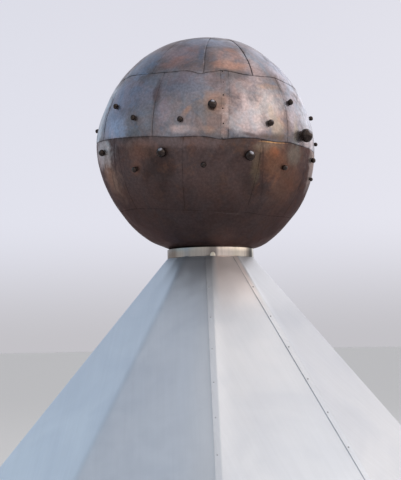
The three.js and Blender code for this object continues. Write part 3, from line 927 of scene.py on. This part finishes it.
def band(base, low, high, row_marks, seams, material, slot, node):
    """A ring of sheets, each standing for its solid."""
    known, usual = SEAM_MARKS[base]
    for index, (start, stop) in enumerate(seam_pairs(seams)):
        marks = (*row_marks, known.get(start, usual), known.get(stop, known.get(stop - 360, usual)))
        around = math.radians(start), math.radians(stop)
        piece = curved_sheet(numbered(base, index), low, high, *around, marks, material)
        seat(piece, slot, numbered(node, index))


class MONUMENT_OT_crown(bpy.types.Operator):
    """Build the twelve gores of the ball's crown"""
    bl_idname = "monument.crown"
    bl_label = "Crown of the ball"

    def execute(self, context):
        ball, _ = sizes()
        band(
            "crown_sheet", ball.upper_seam, math.pi / 2, (UPPER_MARK, 0.0), CROWN_SEAMS,
            upper_copper(), "copper", "crown_gore")
        return {"FINISHED"}


class MONUMENT_OT_upper_band(bpy.types.Operator):
    """Build the ten curved sheets over the middle seam"""
    bl_idname = "monument.upper_band"
    bl_label = "Upper band of the ball"

    def execute(self, context):
        ball, _ = sizes()
        band(
            "upper_sheet", ball.middle_seam, ball.upper_seam, (MIDDLE_MARK, UPPER_MARK),
            UPPER_SEAMS, upper_copper(), "copper", "upper_panel")
        return {"FINISHED"}


class MONUMENT_OT_lower_band(bpy.types.Operator):
    """Build the ten curved sheets under the middle seam and the dished bottom"""
    bl_idname = "monument.lower_band"
    bl_label = "Lower band and bottom of the ball"

    def execute(self, context):
        ball, _ = sizes()
        band(
            "lower_sheet", ball.lower_seam, ball.middle_seam, (LOWER_MARK, MIDDLE_MARK),
            LOWER_SEAMS, lower_copper(), "dark_copper", "lower_panel")
        piece = curved_sheet(
            "bottom_dish", -math.pi / 2, ball.lower_seam, -math.pi, math.pi,
            (0.0, LOWER_MARK, 0.0, 0.0), lower_copper())
        seat(piece, "dark_copper", "bottom_bowl")
        return {"FINISHED"}


# Studs: the sides of one, how far its neck reaches under the sheet, and the angle in degrees from
# which an edge stays sharp
STUD_SIDES = 26
STUD_ROOT = 10 * MM
STUD_SHARP = 60
# Outline of a stud as shares of its head's diameter: radius and height over the sheet
STUD_ROOT_RADIUS = 0.34
STUD_OUTLINE = (
    (0.40, 0.0), (0.36, 0.03), (0.35, 0.06), (0.38, 0.09), (0.435, 0.135), (0.475, 0.205),
    (0.495, 0.29), (0.50, 0.38), (0.485, 0.48), (0.45, 0.575), (0.395, 0.66), (0.315, 0.73),
    (0.22, 0.785), (0.11, 0.815),
)
STUD_MIDDLE = 0.35
STUD_TOP = 0.825
# Lumps of the casting as (wavelength, height), and the height over the sheet where they are full
STUD_LUMPS = ((0.75, 0.022), (0.3, 0.006))
LUMPS_FULL = 0.2
# Painted highlight on each stud: the way it faces most, up and a little to the right, how far it
# leans to that way and how far to the stud's own, the cosine where it begins, and how much of it
# the small studs show
HIGHLIGHT_WAY = (0.12, 0, 1)
HIGHLIGHT_SHARES = (0.62, 0.72)
HIGHLIGHT_FROM = 0.8
SMALL_STUD = 36 * MM
LARGER_BY = 20 * MM
SMALL_HIGHLIGHT = 0.3


def ring_faces(low, high, sides):
    """Faces between two rings of points, given by the rings' numbers."""
    faces = []
    for j in range(sides):
        after = (j + 1) % sides
        faces.append((low * sides + j, low * sides + after, high * sides + after, high * sides + j))
    return faces


def back_studs(seams, pair):
    """Studs of the unseen back, placed from their seams."""
    placed = [(seam + along, up, wide) for seam in seams for along, up, wide in pair]
    return [stud for stud in placed if BACK_FROM < stud[0] < BACK_TO]


def stud_points(azimuth, latitude, diameter, seed):
    """Points, faces and painted highlight of one cast stud, rooted through the sheet."""
    rings = [(STUD_ROOT_RADIUS, -STUD_ROOT / diameter)] + list(STUD_OUTLINE)
    turns = np.linspace(0, 2 * math.pi, STUD_SIDES, endpoint=False)
    rows = [
        np.stack([r * np.cos(turns), r * np.sin(turns), np.full(STUD_SIDES, h)], axis=-1)
        for r, h in rings]
    local = np.concatenate(rows + [np.array([[0, 0, rings[0][1]], [0, 0, STUD_TOP]])])
    lumps = sum(waves(local, span, seed + i) * high for i, (span, high) in enumerate(STUD_LUMPS))
    out = np.clip(local[:, 2] / LUMPS_FULL, 0, 1)
    local = local * (1 + (lumps * out)[:, None])
    lean, centre = ball_place()
    ball, _ = sizes()
    way = outward(np.array(math.radians(azimuth)), np.array(math.radians(latitude)))
    place = np.array(Vector(way).to_track_quat("Z", "Y").to_matrix())
    points = hand_shaped((local * diameter) @ place.T + way * ball.radius)
    points = points @ np.array(lean).T + np.array(centre)
    last = len(rings) - 1
    faces = [face for i in range(last) for face in ring_faces(i, i + 1, STUD_SIDES)]
    root, crown = len(rings) * STUD_SIDES, len(rings) * STUD_SIDES + 1
    for j in range(STUD_SIDES):
        after = (j + 1) % STUD_SIDES
        faces.append((root, after, j))
        faces.append((crown, last * STUD_SIDES + j, last * STUD_SIDES + after))
    toward_light, own = HIGHLIGHT_SHARES
    highlight_way = place.T @ np.array(HIGHLIGHT_WAY) * toward_light + np.array([0, 0, own])
    sight = local - np.array([0, 0, STUD_MIDDLE])
    sight /= np.maximum(np.linalg.norm(sight, axis=1, keepdims=True), TINY)
    highlight = sight @ (highlight_way / np.linalg.norm(highlight_way))
    highlight = np.clip((highlight - HIGHLIGHT_FROM) / (1 - HIGHLIGHT_FROM), 0, 1) * out
    size = min(max((diameter - SMALL_STUD) / LARGER_BY, 0), 1)
    return points, faces, highlight * (SMALL_HIGHLIGHT + (1 - SMALL_HIGHLIGHT) * size)


def stud_piece(name, studs, first_seed):
    """All studs of one band as one piece."""
    points, faces, highlight = [], [], []
    for number, (azimuth, latitude, diameter) in enumerate(studs):
        own = stud_points(azimuth, latitude, diameter * MM, first_seed + 2 * number)
        start = sum(len(p) for p in points)
        points.append(own[0])
        faces += [tuple(start + i for i in face) for face in own[1]]
        highlight.append(own[2])
    # The painted highlight reaches the material under the name outer
    values = {"outer": np.concatenate(highlight)}
    whole = made_piece(name, np.concatenate(points), faces, stud_bronze(), values, STUD_SHARP)
    seat(whole, "stud_bronze")


class MONUMENT_OT_studs(bpy.types.Operator):
    """Build the cast studs that stand on both bands of the ball"""
    bl_idname = "monument.studs"
    bl_label = "Studs"

    def execute(self, context):
        for name, front, seams, pair, seed in (
                ("upper_studs", FRONT_UPPER_STUDS, UPPER_SEAMS, BACK_UPPER_PAIR, 100),
                ("lower_studs", FRONT_LOWER_STUDS, LOWER_SEAMS, BACK_LOWER_PAIR, 300)):
            stud_piece(name, list(front) + back_studs(seams, pair), seed)
        return {"FINISHED"}


# Rivets and fasteners
GEOMETRY = "NodeSocketGeometry"
WANDER_SEED = 5


def rivet_tree():
    """Geometry nodes that set domed heads at an even pitch along lines, facing as the lines say."""
    tree = bpy.data.node_groups.new("domed_heads_in_a_row", "GeometryNodeTree")
    tree.is_modifier = True
    new_sockets(tree, "INPUT", (
        ("Geometry", GEOMETRY), ("Pitch", FLOAT, 0.25), ("Head Width", FLOAT, 0.011),
        ("Head Height", FLOAT, 0.003), ("Wander", FLOAT, 0.0), ("Finish", "NodeSocketMaterial")))
    new_sockets(tree, "OUTPUT", (("Geometry", GEOMETRY),))
    pen = Pen(tree)
    given = pen.add("NodeGroupInput").outputs
    line = pen.add("GeometryNodeMeshToCurve", {"Mesh": given["Geometry"]}).outputs[0]
    spaced = pen.add(
        "GeometryNodeResampleCurve", {"Curve": line, "Length": given["Pitch"]}, mode="LENGTH")
    stray = pen.add(
        "FunctionNodeRandomValue", {0: (-1, -1, -1), 1: (1, 1, 1), "Seed": WANDER_SEED},
        data_type="FLOAT_VECTOR")
    moved = pen.add("GeometryNodeSetPosition", {
        "Geometry": spaced.outputs[0], "Offset": pen.scaled(stray.outputs[0], given["Wander"])})
    facing = pen.add(
        "GeometryNodeInputNamedAttribute", {"Name": "facing"}, data_type="FLOAT_VECTOR")
    upright = pen.add("FunctionNodeAlignRotationToVector", {"Vector": facing.outputs[0]}, axis="Z")
    size = pen.add("ShaderNodeCombineXYZ", {
        0: given["Head Width"], 1: given["Head Width"], 2: pen.times(given["Head Height"], 2.0)})
    head = pen.add("GeometryNodeMeshUVSphere", {"Segments": 14, "Rings": 8, "Radius": 0.5})
    placed = pen.add("GeometryNodeInstanceOnPoints", {
        "Points": moved.outputs[0], "Instance": head.outputs["Mesh"],
        "Rotation": upright.outputs[0], "Scale": size.outputs[0]})
    real = pen.add("GeometryNodeRealizeInstances", {0: placed.outputs[0]})
    smooth = pen.add("GeometryNodeSetShadeSmooth", {"Geometry": real.outputs[0]})
    painted = pen.add("GeometryNodeSetMaterial", {
        "Geometry": smooth.outputs[0], "Material": given["Finish"]})
    pen.add("NodeGroupOutput", {0: painted.outputs[0]})
    return tree


def head_rows(name, lines, material, pitch, width, height, wander=0.0):
    """Heads along lines of (points, facing) as one plain mesh piece."""
    mesh = bpy.data.meshes.new(name + "_lines")
    points, edges, facing = [], [], []
    for line, ways in lines:
        start = len(points)
        points += [tuple(p) for p in line]
        facing += [tuple(w) for w in ways]
        edges += [(start + i, start + i + 1) for i in range(len(line) - 1)]
    mesh.from_pydata(points, edges, [])
    write_values(mesh, {"facing": facing})
    carrier = linked(name + "_lines", mesh)
    modifier = carrier.modifiers.new("heads", "NODES")
    modifier.node_group = bpy.data.node_groups.get("domed_heads_in_a_row") or rivet_tree()
    values = {
        "Pitch": pitch, "Head Width": width, "Head Height": height, "Wander": wander,
        "Finish": material}
    for item in modifier.node_group.interface.items_tree:
        if item.in_out == "INPUT" and item.name in values:
            modifier[item.identifier] = values[item.name]
    evaluated = carrier.evaluated_get(bpy.context.evaluated_depsgraph_get())
    result = bpy.data.meshes.new_from_object(evaluated)
    carrier.modifiers.remove(modifier)
    bpy.data.objects.remove(carrier)
    if not result.polygons:
        raise RuntimeError(f"{name}: the lines carried no heads")
    result.name = name
    return linked(name, result)


# The strap: its seam, its sheet, how far it reaches into the ball, and how far in radians its ends
# stay from the level seams
STRAP_SEAM = 10
STRAP_SHEET = 1.6 * MM
STRAP_UNDER = 0.4 * MM
STRAP_FOOT = 0.012
STRAP_HEAD = 0.008
STRAP_ROWS = 48
# Columns across the strap, from its left edge to its right, as (share of its width left of the
# seam, distance from its edge in mm, how dark that edge is)
STRAP_COLUMNS = (
    (1.0, 0.0, 0.12), (0.99, 1.0, 0.12), (0.75, 12.0, 0.12), (0.5, 24.0, 0.3), (0.25, 20.0, 0.5),
    (0.0, 6.0, 0.9), (-0.05, 1.0, 0.9), (-0.06, 0.0, 0.9),
)
RIVET_SHARE = 0.72


def strap_line(share):
    """The ball's surface up the strap, at a share of its width from the seam towards the left."""
    ball, _ = sizes()
    latitude = np.linspace(ball.middle_seam + STRAP_FOOT, ball.upper_seam - STRAP_HEAD, STRAP_ROWS)
    azimuth = math.radians(STRAP_SEAM) - share * ball.strap_width / (ball.radius * np.cos(latitude))
    return ball_surface(azimuth, latitude, 0.0)


class MONUMENT_OT_strap(bpy.types.Operator):
    """Build the riveted cover strip on one seam of the upper band"""
    bl_idname = "monument.strap"
    bl_label = "Riveted strip"

    def execute(self, context):
        lines = [strap_line(share) for share, _, _ in STRAP_COLUMNS]
        outer = np.stack([line + ways * STRAP_SHEET for line, ways in lines], axis=1)
        under = np.stack([line - ways * STRAP_UNDER for line, ways in lines], axis=1)
        points = np.concatenate([outer.reshape(-1, 3), under.reshape(-1, 3)])
        _, near, marks = np.array(STRAP_COLUMNS).T
        values = {"seam": np.tile(near, 2 * STRAP_ROWS), "mark": np.tile(marks, 2 * STRAP_ROWS)}
        faces = shell_faces(STRAP_ROWS, len(STRAP_COLUMNS))
        seat(made_piece("seam_strip", points, faces, upper_copper(), values), "copper")
        line, ways = strap_line(RIVET_SHARE)
        rivets = head_rows(
            "strip_rivets", [(line + ways * STRAP_SHEET, ways)], stud_bronze(),
            pitch=78 * MM, width=9 * MM, height=2.5 * MM, wander=3 * MM)
        seat(rivets, "stud_bronze")
        return {"FINISHED"}


# Collar: its sides and its wall, the bevel of its foot as a share of its rounded edge, the parts of
# that edge's arc, and the angle in degrees from which an edge stays sharp. Then the lug's size, its
# azimuth in degrees and the parts of its arc
COLLAR_SIDES = 160
COLLAR_WALL = 6 * MM
FOOT_BEVEL = 0.4
EDGE_ARC = 4
COLLAR_SHARP = 50
LUG_WIDTH = 36 * MM
LUG_HEIGHT = 28 * MM
LUG_AZIMUTH = 3.0
LUG_ARC = 14
# Layers of the lug as (size of its outline, height over the collar's wall)
LUG_LAYERS = ((1.0, -1 * MM), (1.0, 3.8 * MM), (0.93, 5 * MM))


def spun(name, outline, sides, material):
    """A closed ring turned round the upright axis from an outline of (radius, height)."""
    turns = np.linspace(0, 2 * math.pi, sides, endpoint=False)
    points = [(r * math.sin(t), -r * math.cos(t), z) for r, z in outline for t in turns]
    count = len(outline)
    faces = [face for i in range(count) for face in ring_faces(i, (i + 1) % count, sides)]
    return made_piece(name, points, faces, material, sharp=COLLAR_SHARP)


def collar_lug(radius, foot, material):
    """Half-round plate that stands against the collar's foot at the front."""
    turns = np.linspace(0, math.pi, LUG_ARC + 1)
    count = len(turns)
    points, faces = [], []
    for size, out in LUG_LAYERS:
        for turned in turns:
            angle = math.radians(LUG_AZIMUTH) + LUG_WIDTH / 2 * math.cos(turned) * size / radius
            reach = radius + out
            rise = LUG_HEIGHT * math.sin(turned) * size
            points.append((reach * math.sin(angle), -reach * math.cos(angle), foot + rise))
    for layer in range(len(LUG_LAYERS) - 1):
        for i in range(count):
            a, b = layer * count + i, layer * count + (i + 1) % count
            faces.append((a, b, b + count, a + count))
    faces.append(tuple(reversed(range(count))))
    faces.append(tuple(range(2 * count, 3 * count)))
    return turned_outwards(made_piece("collar_lug", points, faces, material, sharp=COLLAR_SHARP))


class MONUMENT_OT_collar(bpy.types.Operator):
    """Build the brushed steel collar and its half-round lug"""
    bl_idname = "monument.collar"
    bl_label = "Steel collar"

    def execute(self, context):
        ball, pedestal = sizes()
        low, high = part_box("collar")
        radius, inner, edge = high.x, high.x - COLLAR_WALL, pedestal.collar_edge
        bevel = FOOT_BEVEL * edge
        outline = [(inner, low.z), (radius - bevel, low.z), (radius, low.z + bevel)]
        for i in range(EDGE_ARC + 1):
            swing = math.pi / 2 * i / EDGE_ARC
            out, up = edge * math.cos(swing), edge * math.sin(swing)
            outline.append((radius - edge + out, high.z - edge + up))
        flange = high.z - COLLAR_WALL
        outline += [(ball.seat_radius, high.z), (ball.seat_radius, flange), (inner, flange)]
        # The band's steel carries the painted reflections and glint; the lug's steel is plain
        steel = finish("brushed_collar_steel", paint_steel, stained=True)
        seat(spun("collar_band", outline, COLLAR_SIDES, steel), "collar_steel", "collar")
        pale = finish("pale_lug_steel", paint_steel, stained=False)
        seat(collar_lug(radius, low.z, pale), "collar_steel")
        return {"FINISHED"}


# Pedestal
class Pyramid:
    """Plan geometry of the lapped panels at any height."""

    def __init__(self):
        _, self.sizes = sizes()
        self.step = 2 * math.pi / self.sizes.sides
        self.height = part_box("top_plate")[1].z
        self.panel_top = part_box("pedestal_panel_01")[1].z
        self.apothem_share = math.cos(self.step / 2)
        self.face_run = self.apothem_share / self.sizes.slope
        self.rise = math.atan(self.face_run)
        self.lap_level = self.sizes.sheet + self.sizes.gap

    def direction(self, face):
        angle = self.sizes.turn + self.step * (face + 0.5)
        return np.array([math.sin(angle), -math.cos(angle)])

    def normal(self, face):
        plan = self.direction(face) * math.cos(self.rise)
        return np.array([plan[0], plan[1], math.sin(self.rise)])

    def meet(self, one, out_one, other, out_other, height):
        """Corner in plan where two faces meet, each moved out by an offset."""
        corner = self.sizes.top_corner + (self.height - height) / self.sizes.slope
        apothem = corner * self.apothem_share
        n, m = self.direction(one), self.direction(other)
        p = apothem + out_one / math.cos(self.rise)
        q = apothem + out_other / math.cos(self.rise)
        cross = n[0] * m[1] - n[1] * m[0]
        return np.array([(p * m[1] - q * n[1]) / cross, (q * n[0] - p * m[0]) / cross])

    def lap_end(self, face, offset, height):
        """End of a panel's lap on its left neighbour, moved out by an offset."""
        corner = self.meet(face - 1, 0, face, 0, height)
        n = self.direction(face - 1)
        lean = math.atan(math.tan(self.step / 2) * self.face_run / math.hypot(1, self.face_run))
        along = self.sizes.lap_width / math.cos(lean)
        out = offset / math.cos(self.rise)
        return corner + n * out + np.array([n[1], -n[0]]) * along


# The pedestal's sheets as (first face, number of faces), and how loose and dirty each one's lap is
PEDESTAL_RUNS = ((0, 1), (1, 2), (3, 2), (5, 1), (6, 2), (8, 2))
LAP_SPRING = (1.0, 0.1, 0.2, 0.3, 0.15, 0.4)
LAP_MARKS = (0.3, 0.27, 0.32, 0.35, 0.32, 0.35)
# Parts of the mesh across a face, a fold and a lap and down a sheet, with the shares of its height
# at which the rows stand closer together, and the angle in degrees from which an edge stays sharp
FACE_COLUMNS = 26
FOLD_COLUMNS = 5
LAP_COLUMNS = 4
PANEL_ROWS = 46
PANEL_ENDS = (0.0, 0.002, 0.008)
PANEL_SHARP = 30
# Dishing as (wavelength, first seed, share), how far from a bend it begins and over what distance
# it grows, and over what distance it grows from a sheet's top and foot
DISH_WAVES = ((0.9, 400, 0.7), (0.33, 440, 0.22))
DISH_FROM = 0.06
DISH_OVER = 0.12
DISH_ENDS = 0.25
# How far a sheet's pattern lies from its neighbour's, the distance from any seam in mm that the
# feet are given, and how far inside the sheet's face they begin
PATTERN_SHIFT = 3.7
FOOT_DISTANCE = 60.0
FOOT_INSET = -1 * MM


def sheet_line(pyramid, index, height):
    """Outer line of a sheet in plan, from its right edge over its bends to its lap's end.

    With each point go the way it faces, how far along it lies and how clear it is of the bends.
    """
    own = pyramid.sizes
    first, count = PEDESTAL_RUNS[index]
    last = first + count - 1
    corners = [pyramid.meet(last, 0, last + 1, -pyramid.lap_level, height)]
    corners += [pyramid.meet(face, 0, face - 1, 0, height) for face in range(last, first, -1)]
    corners.append(pyramid.meet(first, 0, first - 1, pyramid.lap_level, height))
    lifted = pyramid.lap_level + own.lap_lift * LAP_SPRING[index]
    corners.append(pyramid.lap_end(first, lifted, height))
    sides = [pyramid.direction(face) for face in range(last, first - 2, -1)]
    turns = [own.bend_radius] * (count - 1) + [own.fold_radius]
    reaches = [0.0] + [2 * radius * math.tan(pyramid.step / 2) for radius in turns] + [0.0]
    line, facing, gone, clear = [], [], [], []
    walked = 0.0
    for i, side in enumerate(sides):
        start, end = corners[i], corners[i + 1]
        span = np.linalg.norm(end - start)
        way = (end - start) / span
        columns = FACE_COLUMNS if i < count else LAP_COLUMNS
        for share in np.linspace(0, 1, columns + 1):
            far = reaches[i] + (span - reaches[i] - reaches[i + 1]) * share
            line.append(start + way * far)
            facing.append(side)
            gone.append(walked + far)
            clear.append(min(far, span - far) if i < count else 0.0)
        walked += span
        if i == count:
            break
        after = (corners[i + 2] - end) / np.linalg.norm(corners[i + 2] - end)
        for t in np.linspace(0, 1, FOLD_COLUMNS + 1)[1:-1]:
            line.append(end + reaches[i + 1] * (after * t * t - way * (1 - t) ** 2))
            blend = side * (1 - t) + sides[i + 1] * t
            facing.append(blend / np.linalg.norm(blend))
            gone.append(walked + reaches[i + 1] * (2 * t - 1))
            clear.append(0.0)
    return np.array(line), np.array(facing), np.array(gone), np.array(clear)


def panel_rows(pyramid, index):
    """Outer and inner points of a folded sheet, row by row, and what its material reads there."""
    own = pyramid.sizes
    next_lap = sum(PEDESTAL_RUNS[index])
    next_mark = LAP_MARKS[(index + 1) % len(PEDESTAL_RUNS)]
    rows = []
    for height in pyramid.panel_top * (1 - graded(1.0, 1 / PANEL_ROWS, PANEL_ENDS)):
        line, facing, gone, clear = sheet_line(pyramid, index, height)
        level = np.full(len(line), 1.0)
        down = (pyramid.panel_top - height) / math.cos(pyramid.rise)
        spot = np.column_stack([line, level * height])
        ends = np.clip(min(down, height) / DISH_ENDS, 0, 1)
        window = eased(clear, DISH_FROM, DISH_FROM + DISH_OVER) * ends
        dish = sum(waves(spot, span, seed + index) * share for span, seed, share in DISH_WAVES)
        ways = np.column_stack([facing * math.cos(pyramid.rise), level * math.sin(pyramid.rise)])
        outer = spot + ways * (dish * own.dish * window)[:, None]
        inner = outer - np.column_stack([facing, level * 0.0]) * own.sheet / math.cos(pyramid.rise)
        own_end = np.abs(gone[-1] - gone)
        next_end = np.abs(gone - np.linalg.norm(pyramid.lap_end(next_lap, 0, height) - line[0]))
        seam = np.minimum(own_end, next_end) / MM
        mark = np.where(own_end < next_end, LAP_MARKS[index], next_mark)
        place = np.column_stack([gone, level * down, level * PATTERN_SHIFT * index])
        rows.append((outer, inner, seam, mark, place))
    return [np.array(each) for each in zip(*rows)]


def panel_piece(name, pyramid, index, material):
    """One folded sheet with its lap and its turned-in foot."""
    first, count = PEDESTAL_RUNS[index]
    outer, inner, seam, mark, place = panel_rows(pyramid, index)
    points = list(outer.reshape(-1, 3)) + list(inner.reshape(-1, 3))
    faces = shell_faces(*outer.shape[:2])
    sheet_points = len(points)
    for face in range(first, first + count):
        foot_points, foot_faces = turned_foot(pyramid, face, face == first + count - 1, len(points))
        points += foot_points
        faces += foot_faces
    spare = len(points) - sheet_points
    values = {
        "seam": np.append(np.tile(seam.ravel(), 2), np.full(spare, FOOT_DISTANCE)),
        "mark": np.append(np.tile(mark.ravel(), 2), np.zeros(spare)),
        "place": np.append(np.tile(place.reshape(-1, 3), (2, 1)), np.zeros((spare, 3)), axis=0),
    }
    return turned_outwards(made_piece(name, points, faces, material, values, PANEL_SHARP))


def turned_foot(pyramid, face, is_last, start):
    """Foot turned in along the bottom edge of a face, mitred at both ends."""
    inside = -pyramid.sizes.foot_width * math.cos(pyramid.rise)
    right = -pyramid.lap_level if is_last else FOOT_INSET
    points = []
    for height in (0.0, pyramid.sizes.sheet):
        for other, out, out_other in (
                (face + 1, FOOT_INSET, right), (face - 1, FOOT_INSET, FOOT_INSET),
                (face - 1, inside, inside), (face + 1, inside, inside)):
            points.append((*pyramid.meet(face, out, other, out_other, height), height))
    rings = ((0, 1, 2, 3), (4, 7, 6, 5), (0, 4, 5, 1), (1, 5, 6, 2), (2, 6, 7, 3), (3, 7, 4, 0))
    return points, [tuple(start + i for i in ring) for ring in rings]


class MONUMENT_OT_pedestal(bpy.types.Operator):
    """Build the lapped sheets of the pedestal and finish its top plate"""
    bl_idname = "monument.pedestal"
    bl_label = "Pedestal sheets"

    def execute(self, context):
        pyramid = Pyramid()
        grey = pedestal_sheet()
        for index in range(len(PEDESTAL_RUNS)):
            piece = panel_piece(numbered("panel_sheet", index), pyramid, index, grey)
            seat(piece, "pedestal_sheet", numbered("pedestal_panel", index))
        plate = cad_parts["top_plate"]
        plate.data.materials.clear()
        plate.data.materials.append(grey)
        return {"FINISHED"}


# Fasteners down the laps: the first one's distance under the top, the lowest height, where they
# stand between the lap's corner and its end, and the pitch that the row is given, so that its ends
# count
FIRST_FASTENER = 0.204
LOWEST_FASTENER = 0.05
LAP_SHARES = (0.42, 0.58)
ROW_POINTS = 30
PITCH_FIT = 0.998


class MONUMENT_OT_fasteners(bpy.types.Operator):
    """Set fasteners down every lap of the pedestal"""
    bl_idname = "monument.fasteners"
    bl_label = "Lap fasteners"

    def execute(self, context):
        pyramid = Pyramid()
        own = pyramid.sizes
        top = pyramid.panel_top - FIRST_FASTENER
        drop = own.fastener_pitch * math.sin(math.atan(own.slope))
        foot = top - drop * int((top - LOWEST_FASTENER) / drop)
        lines = []
        for (face, _), spring in zip(PEDESTAL_RUNS, LAP_SPRING):
            line = []
            for height in np.linspace(top, foot, ROW_POINTS):
                corner = pyramid.meet(face, 0, face - 1, pyramid.lap_level, height)
                end = pyramid.lap_end(face, pyramid.lap_level + own.lap_lift * spring, height)
                line.append((*(corner * LAP_SHARES[0] + end * LAP_SHARES[1]), height))
            lines.append((line, [pyramid.normal(face - 1)] * len(line)))
        heads = head_rows(
            "lap_fasteners", lines, finish("dull_fastener_steel", paint_fasteners),
            pitch=PITCH_FIT * own.fastener_pitch, width=own.fastener_width,
            height=own.fastener_height)
        seat(heads, "pedestal_sheet")
        return {"FINISHED"}


# Stage: the camera's distance from the ball's centre and its degrees below it, its yaw, pitch and
# roll in degrees, its focal length and the photo's height in pixels, its sensor in mm and how far
# it sees; then the floor
EYE_DISTANCE = 7.5
EYE_BELOW = 9.26
CAMERA_TURNS = (-0.51, 4.39, -1.0)
FOCAL_PIXELS = 1088
PHOTO_HEIGHT = 480
SENSOR = 36.0
FAR_END = 200
FLOOR_RADIUS = 60
FLOOR_SIDES = 96
FLOOR_DROP = 0.5 * MM
FLOOR_COLOUR = (0.80, 0.79, 0.78)
FLOOR_ROUGHNESS = 0.9
# Large square lights as (name, azimuth, elevation, distance, size, watts, colour)
LIGHTS = (
    ("key", 66, 30, 8.0, 5.5, 50, (0.85, 0.92, 1.0)),
    ("top_right", 98, 68, 8.0, 5.0, 90, (1.0, 0.9, 0.8)),
    ("right_back", 155, 32, 10.0, 7.0, 72, (0.95, 0.95, 1.0)),
    ("front_top", 0, 60, 8.0, 6.0, 50, (1.0, 1.0, 1.0)),
)
# Surroundings as (axis, sign, colour); beside them, the colour that they take near the horizon
SURROUNDINGS = (
    (0, 1.0, (1.50, 1.40, 1.30)), (0, -1.0, (0.46, 0.64, 0.76)), (1, 1.0, (0.77, 0.77, 0.85)),
    (1, -1.0, (0.87, 0.85, 0.79)), (2, 1.0, (0.30, 0.30, 0.34)),
)
HORIZON = (0.55, 0.54, 0.57)


def photo_camera(centre):
    """Camera at the photo's viewing angle, looking up at the ball."""
    yaw, pitch, roll = (math.radians(a) for a in CAMERA_TURNS)
    below = math.radians(EYE_BELOW)
    level = Vector((math.sin(yaw), math.cos(yaw), 0))
    forward = level * math.cos(pitch) + Vector((0, 0, math.sin(pitch)))
    right = Vector((math.cos(yaw), -math.sin(yaw), 0))
    up = right.cross(forward)
    turned_right = right * math.cos(roll) + up * math.sin(roll)
    turned_up = up * math.cos(roll) - right * math.sin(roll)
    camera = bpy.data.cameras.new("camera")
    camera.sensor_width = SENSOR
    camera.lens = FOCAL_PIXELS / PHOTO_HEIGHT * SENSOR
    camera.clip_end = FAR_END
    matrix = Matrix((turned_right, turned_up, -forward)).transposed().to_4x4()
    matrix.translation = centre + Vector((0, -math.cos(below), -math.sin(below))) * EYE_DISTANCE
    holder = linked("camera", camera)
    holder.matrix_world = matrix
    bpy.context.scene.camera = holder


def soft_light(name, target, azimuth, elevation, distance, size, watts, tint):
    """A large square light that faces the target from an azimuth and an elevation."""
    light = bpy.data.lights.new(name, "AREA")
    light.shape, light.size, light.energy, light.color = "SQUARE", size, watts, tint
    around, up = math.radians(azimuth), math.radians(elevation)
    way = Vector((math.cos(up) * math.sin(around), -math.cos(up) * math.cos(around), math.sin(up)))
    holder = linked(name, light)
    holder.location = target + way * distance
    holder.rotation_euler = way.to_track_quat("Z", "Y").to_euler()


def studio_world():
    """Surroundings blended from a colour for each way: bright on the right, bluer on the left."""
    world = bpy.data.worlds.new("studio")
    bpy.context.scene.world = world
    world.use_nodes = True
    world.node_tree.nodes.clear()
    pen = Pen(world.node_tree)
    parts = pen.parts(pen.add("ShaderNodeTexCoord").outputs["Generated"])
    tone = (0.0, 0.0, 0.0)
    for axis, sign, light in SURROUNDINGS:
        reach = pen.math("MAXIMUM", pen.times(parts[axis], sign), 0.0)
        tone = pen.vector("ADD", tone, pen.scaled(light, pen.times(reach, reach)))
    tone = pen.mix(pen.step(parts[2], 0.1, -0.02), tone, HORIZON)
    glow = pen.add("ShaderNodeBackground", {"Color": tone, "Strength": 1.0})
    pen.add("ShaderNodeOutputWorld", {"Surface": glow.outputs[0]})


def pale_floor():
    """A wide round floor just under the pedestal's feet."""
    mesh = bpy.data.meshes.new("floor")
    reworked(mesh, lambda built: bmesh.ops.create_circle(
        built, cap_ends=True, segments=FLOOR_SIDES, radius=FLOOR_RADIUS))
    material, _, surface = new_material("pale_floor")
    surface["Base Color"].default_value = opaque(FLOOR_COLOUR)
    surface["Roughness"].default_value = FLOOR_ROUGHNESS
    mesh.materials.append(material)
    floor = linked("floor", mesh)
    floor.location.z = -FLOOR_DROP
    return floor


class MONUMENT_OT_stage(bpy.types.Operator):
    """Lay the pale floor and set the lights and the camera"""
    bl_idname = "monument.stage"
    bl_label = "Floor, lights and camera"

    def execute(self, context):
        _, centre = ball_place()
        floor = pale_floor()
        studio_world()
        for name, *setting in LIGHTS:
            soft_light(name, centre, *setting)
        context.scene.view_settings.view_transform = "Standard"
        photo_camera(centre)
        return {"FINISHED"}


STEPS = (
    MONUMENT_OT_stage, MONUMENT_OT_crown, MONUMENT_OT_upper_band, MONUMENT_OT_lower_band,
    MONUMENT_OT_studs, MONUMENT_OT_strap, MONUMENT_OT_collar, MONUMENT_OT_pedestal,
    MONUMENT_OT_fasteners,
)


class MONUMENT_PT_panel(bpy.types.Panel):
    """Sidebar panel with every step and its sizes"""
    bl_idname = "MONUMENT_PT_panel"
    bl_label = "Ball monument"
    bl_space_type = "VIEW_3D"
    bl_region_type = "UI"
    bl_category = "Monument"

    def draw(self, context):
        for step in STEPS:
            self.layout.operator(step.bl_idname, text=step.bl_label)
        for name, group in SETTINGS.items():
            box = self.layout.box()
            box.label(text=group.__doc__)
            for prop in group.__annotations__:
                box.prop(getattr(context.scene, name), prop)


CLASSES = (*SETTINGS.values(), *STEPS, MONUMENT_PT_panel)


def register():
    for each in CLASSES:
        bpy.utils.register_class(each)
    for name, group in SETTINGS.items():
        setattr(bpy.types.Scene, name, PointerProperty(type=group))


def unregister():
    for name in SETTINGS:
        delattr(bpy.types.Scene, name)
    for each in reversed(CLASSES):
        bpy.utils.unregister_class(each)


def main():
    """Builds the whole scene."""
    register()
    for step in STEPS:
        group, name = step.bl_idname.split(".")
        getattr(getattr(bpy.ops, group), name)()


if __name__ == "__main__":
    main()
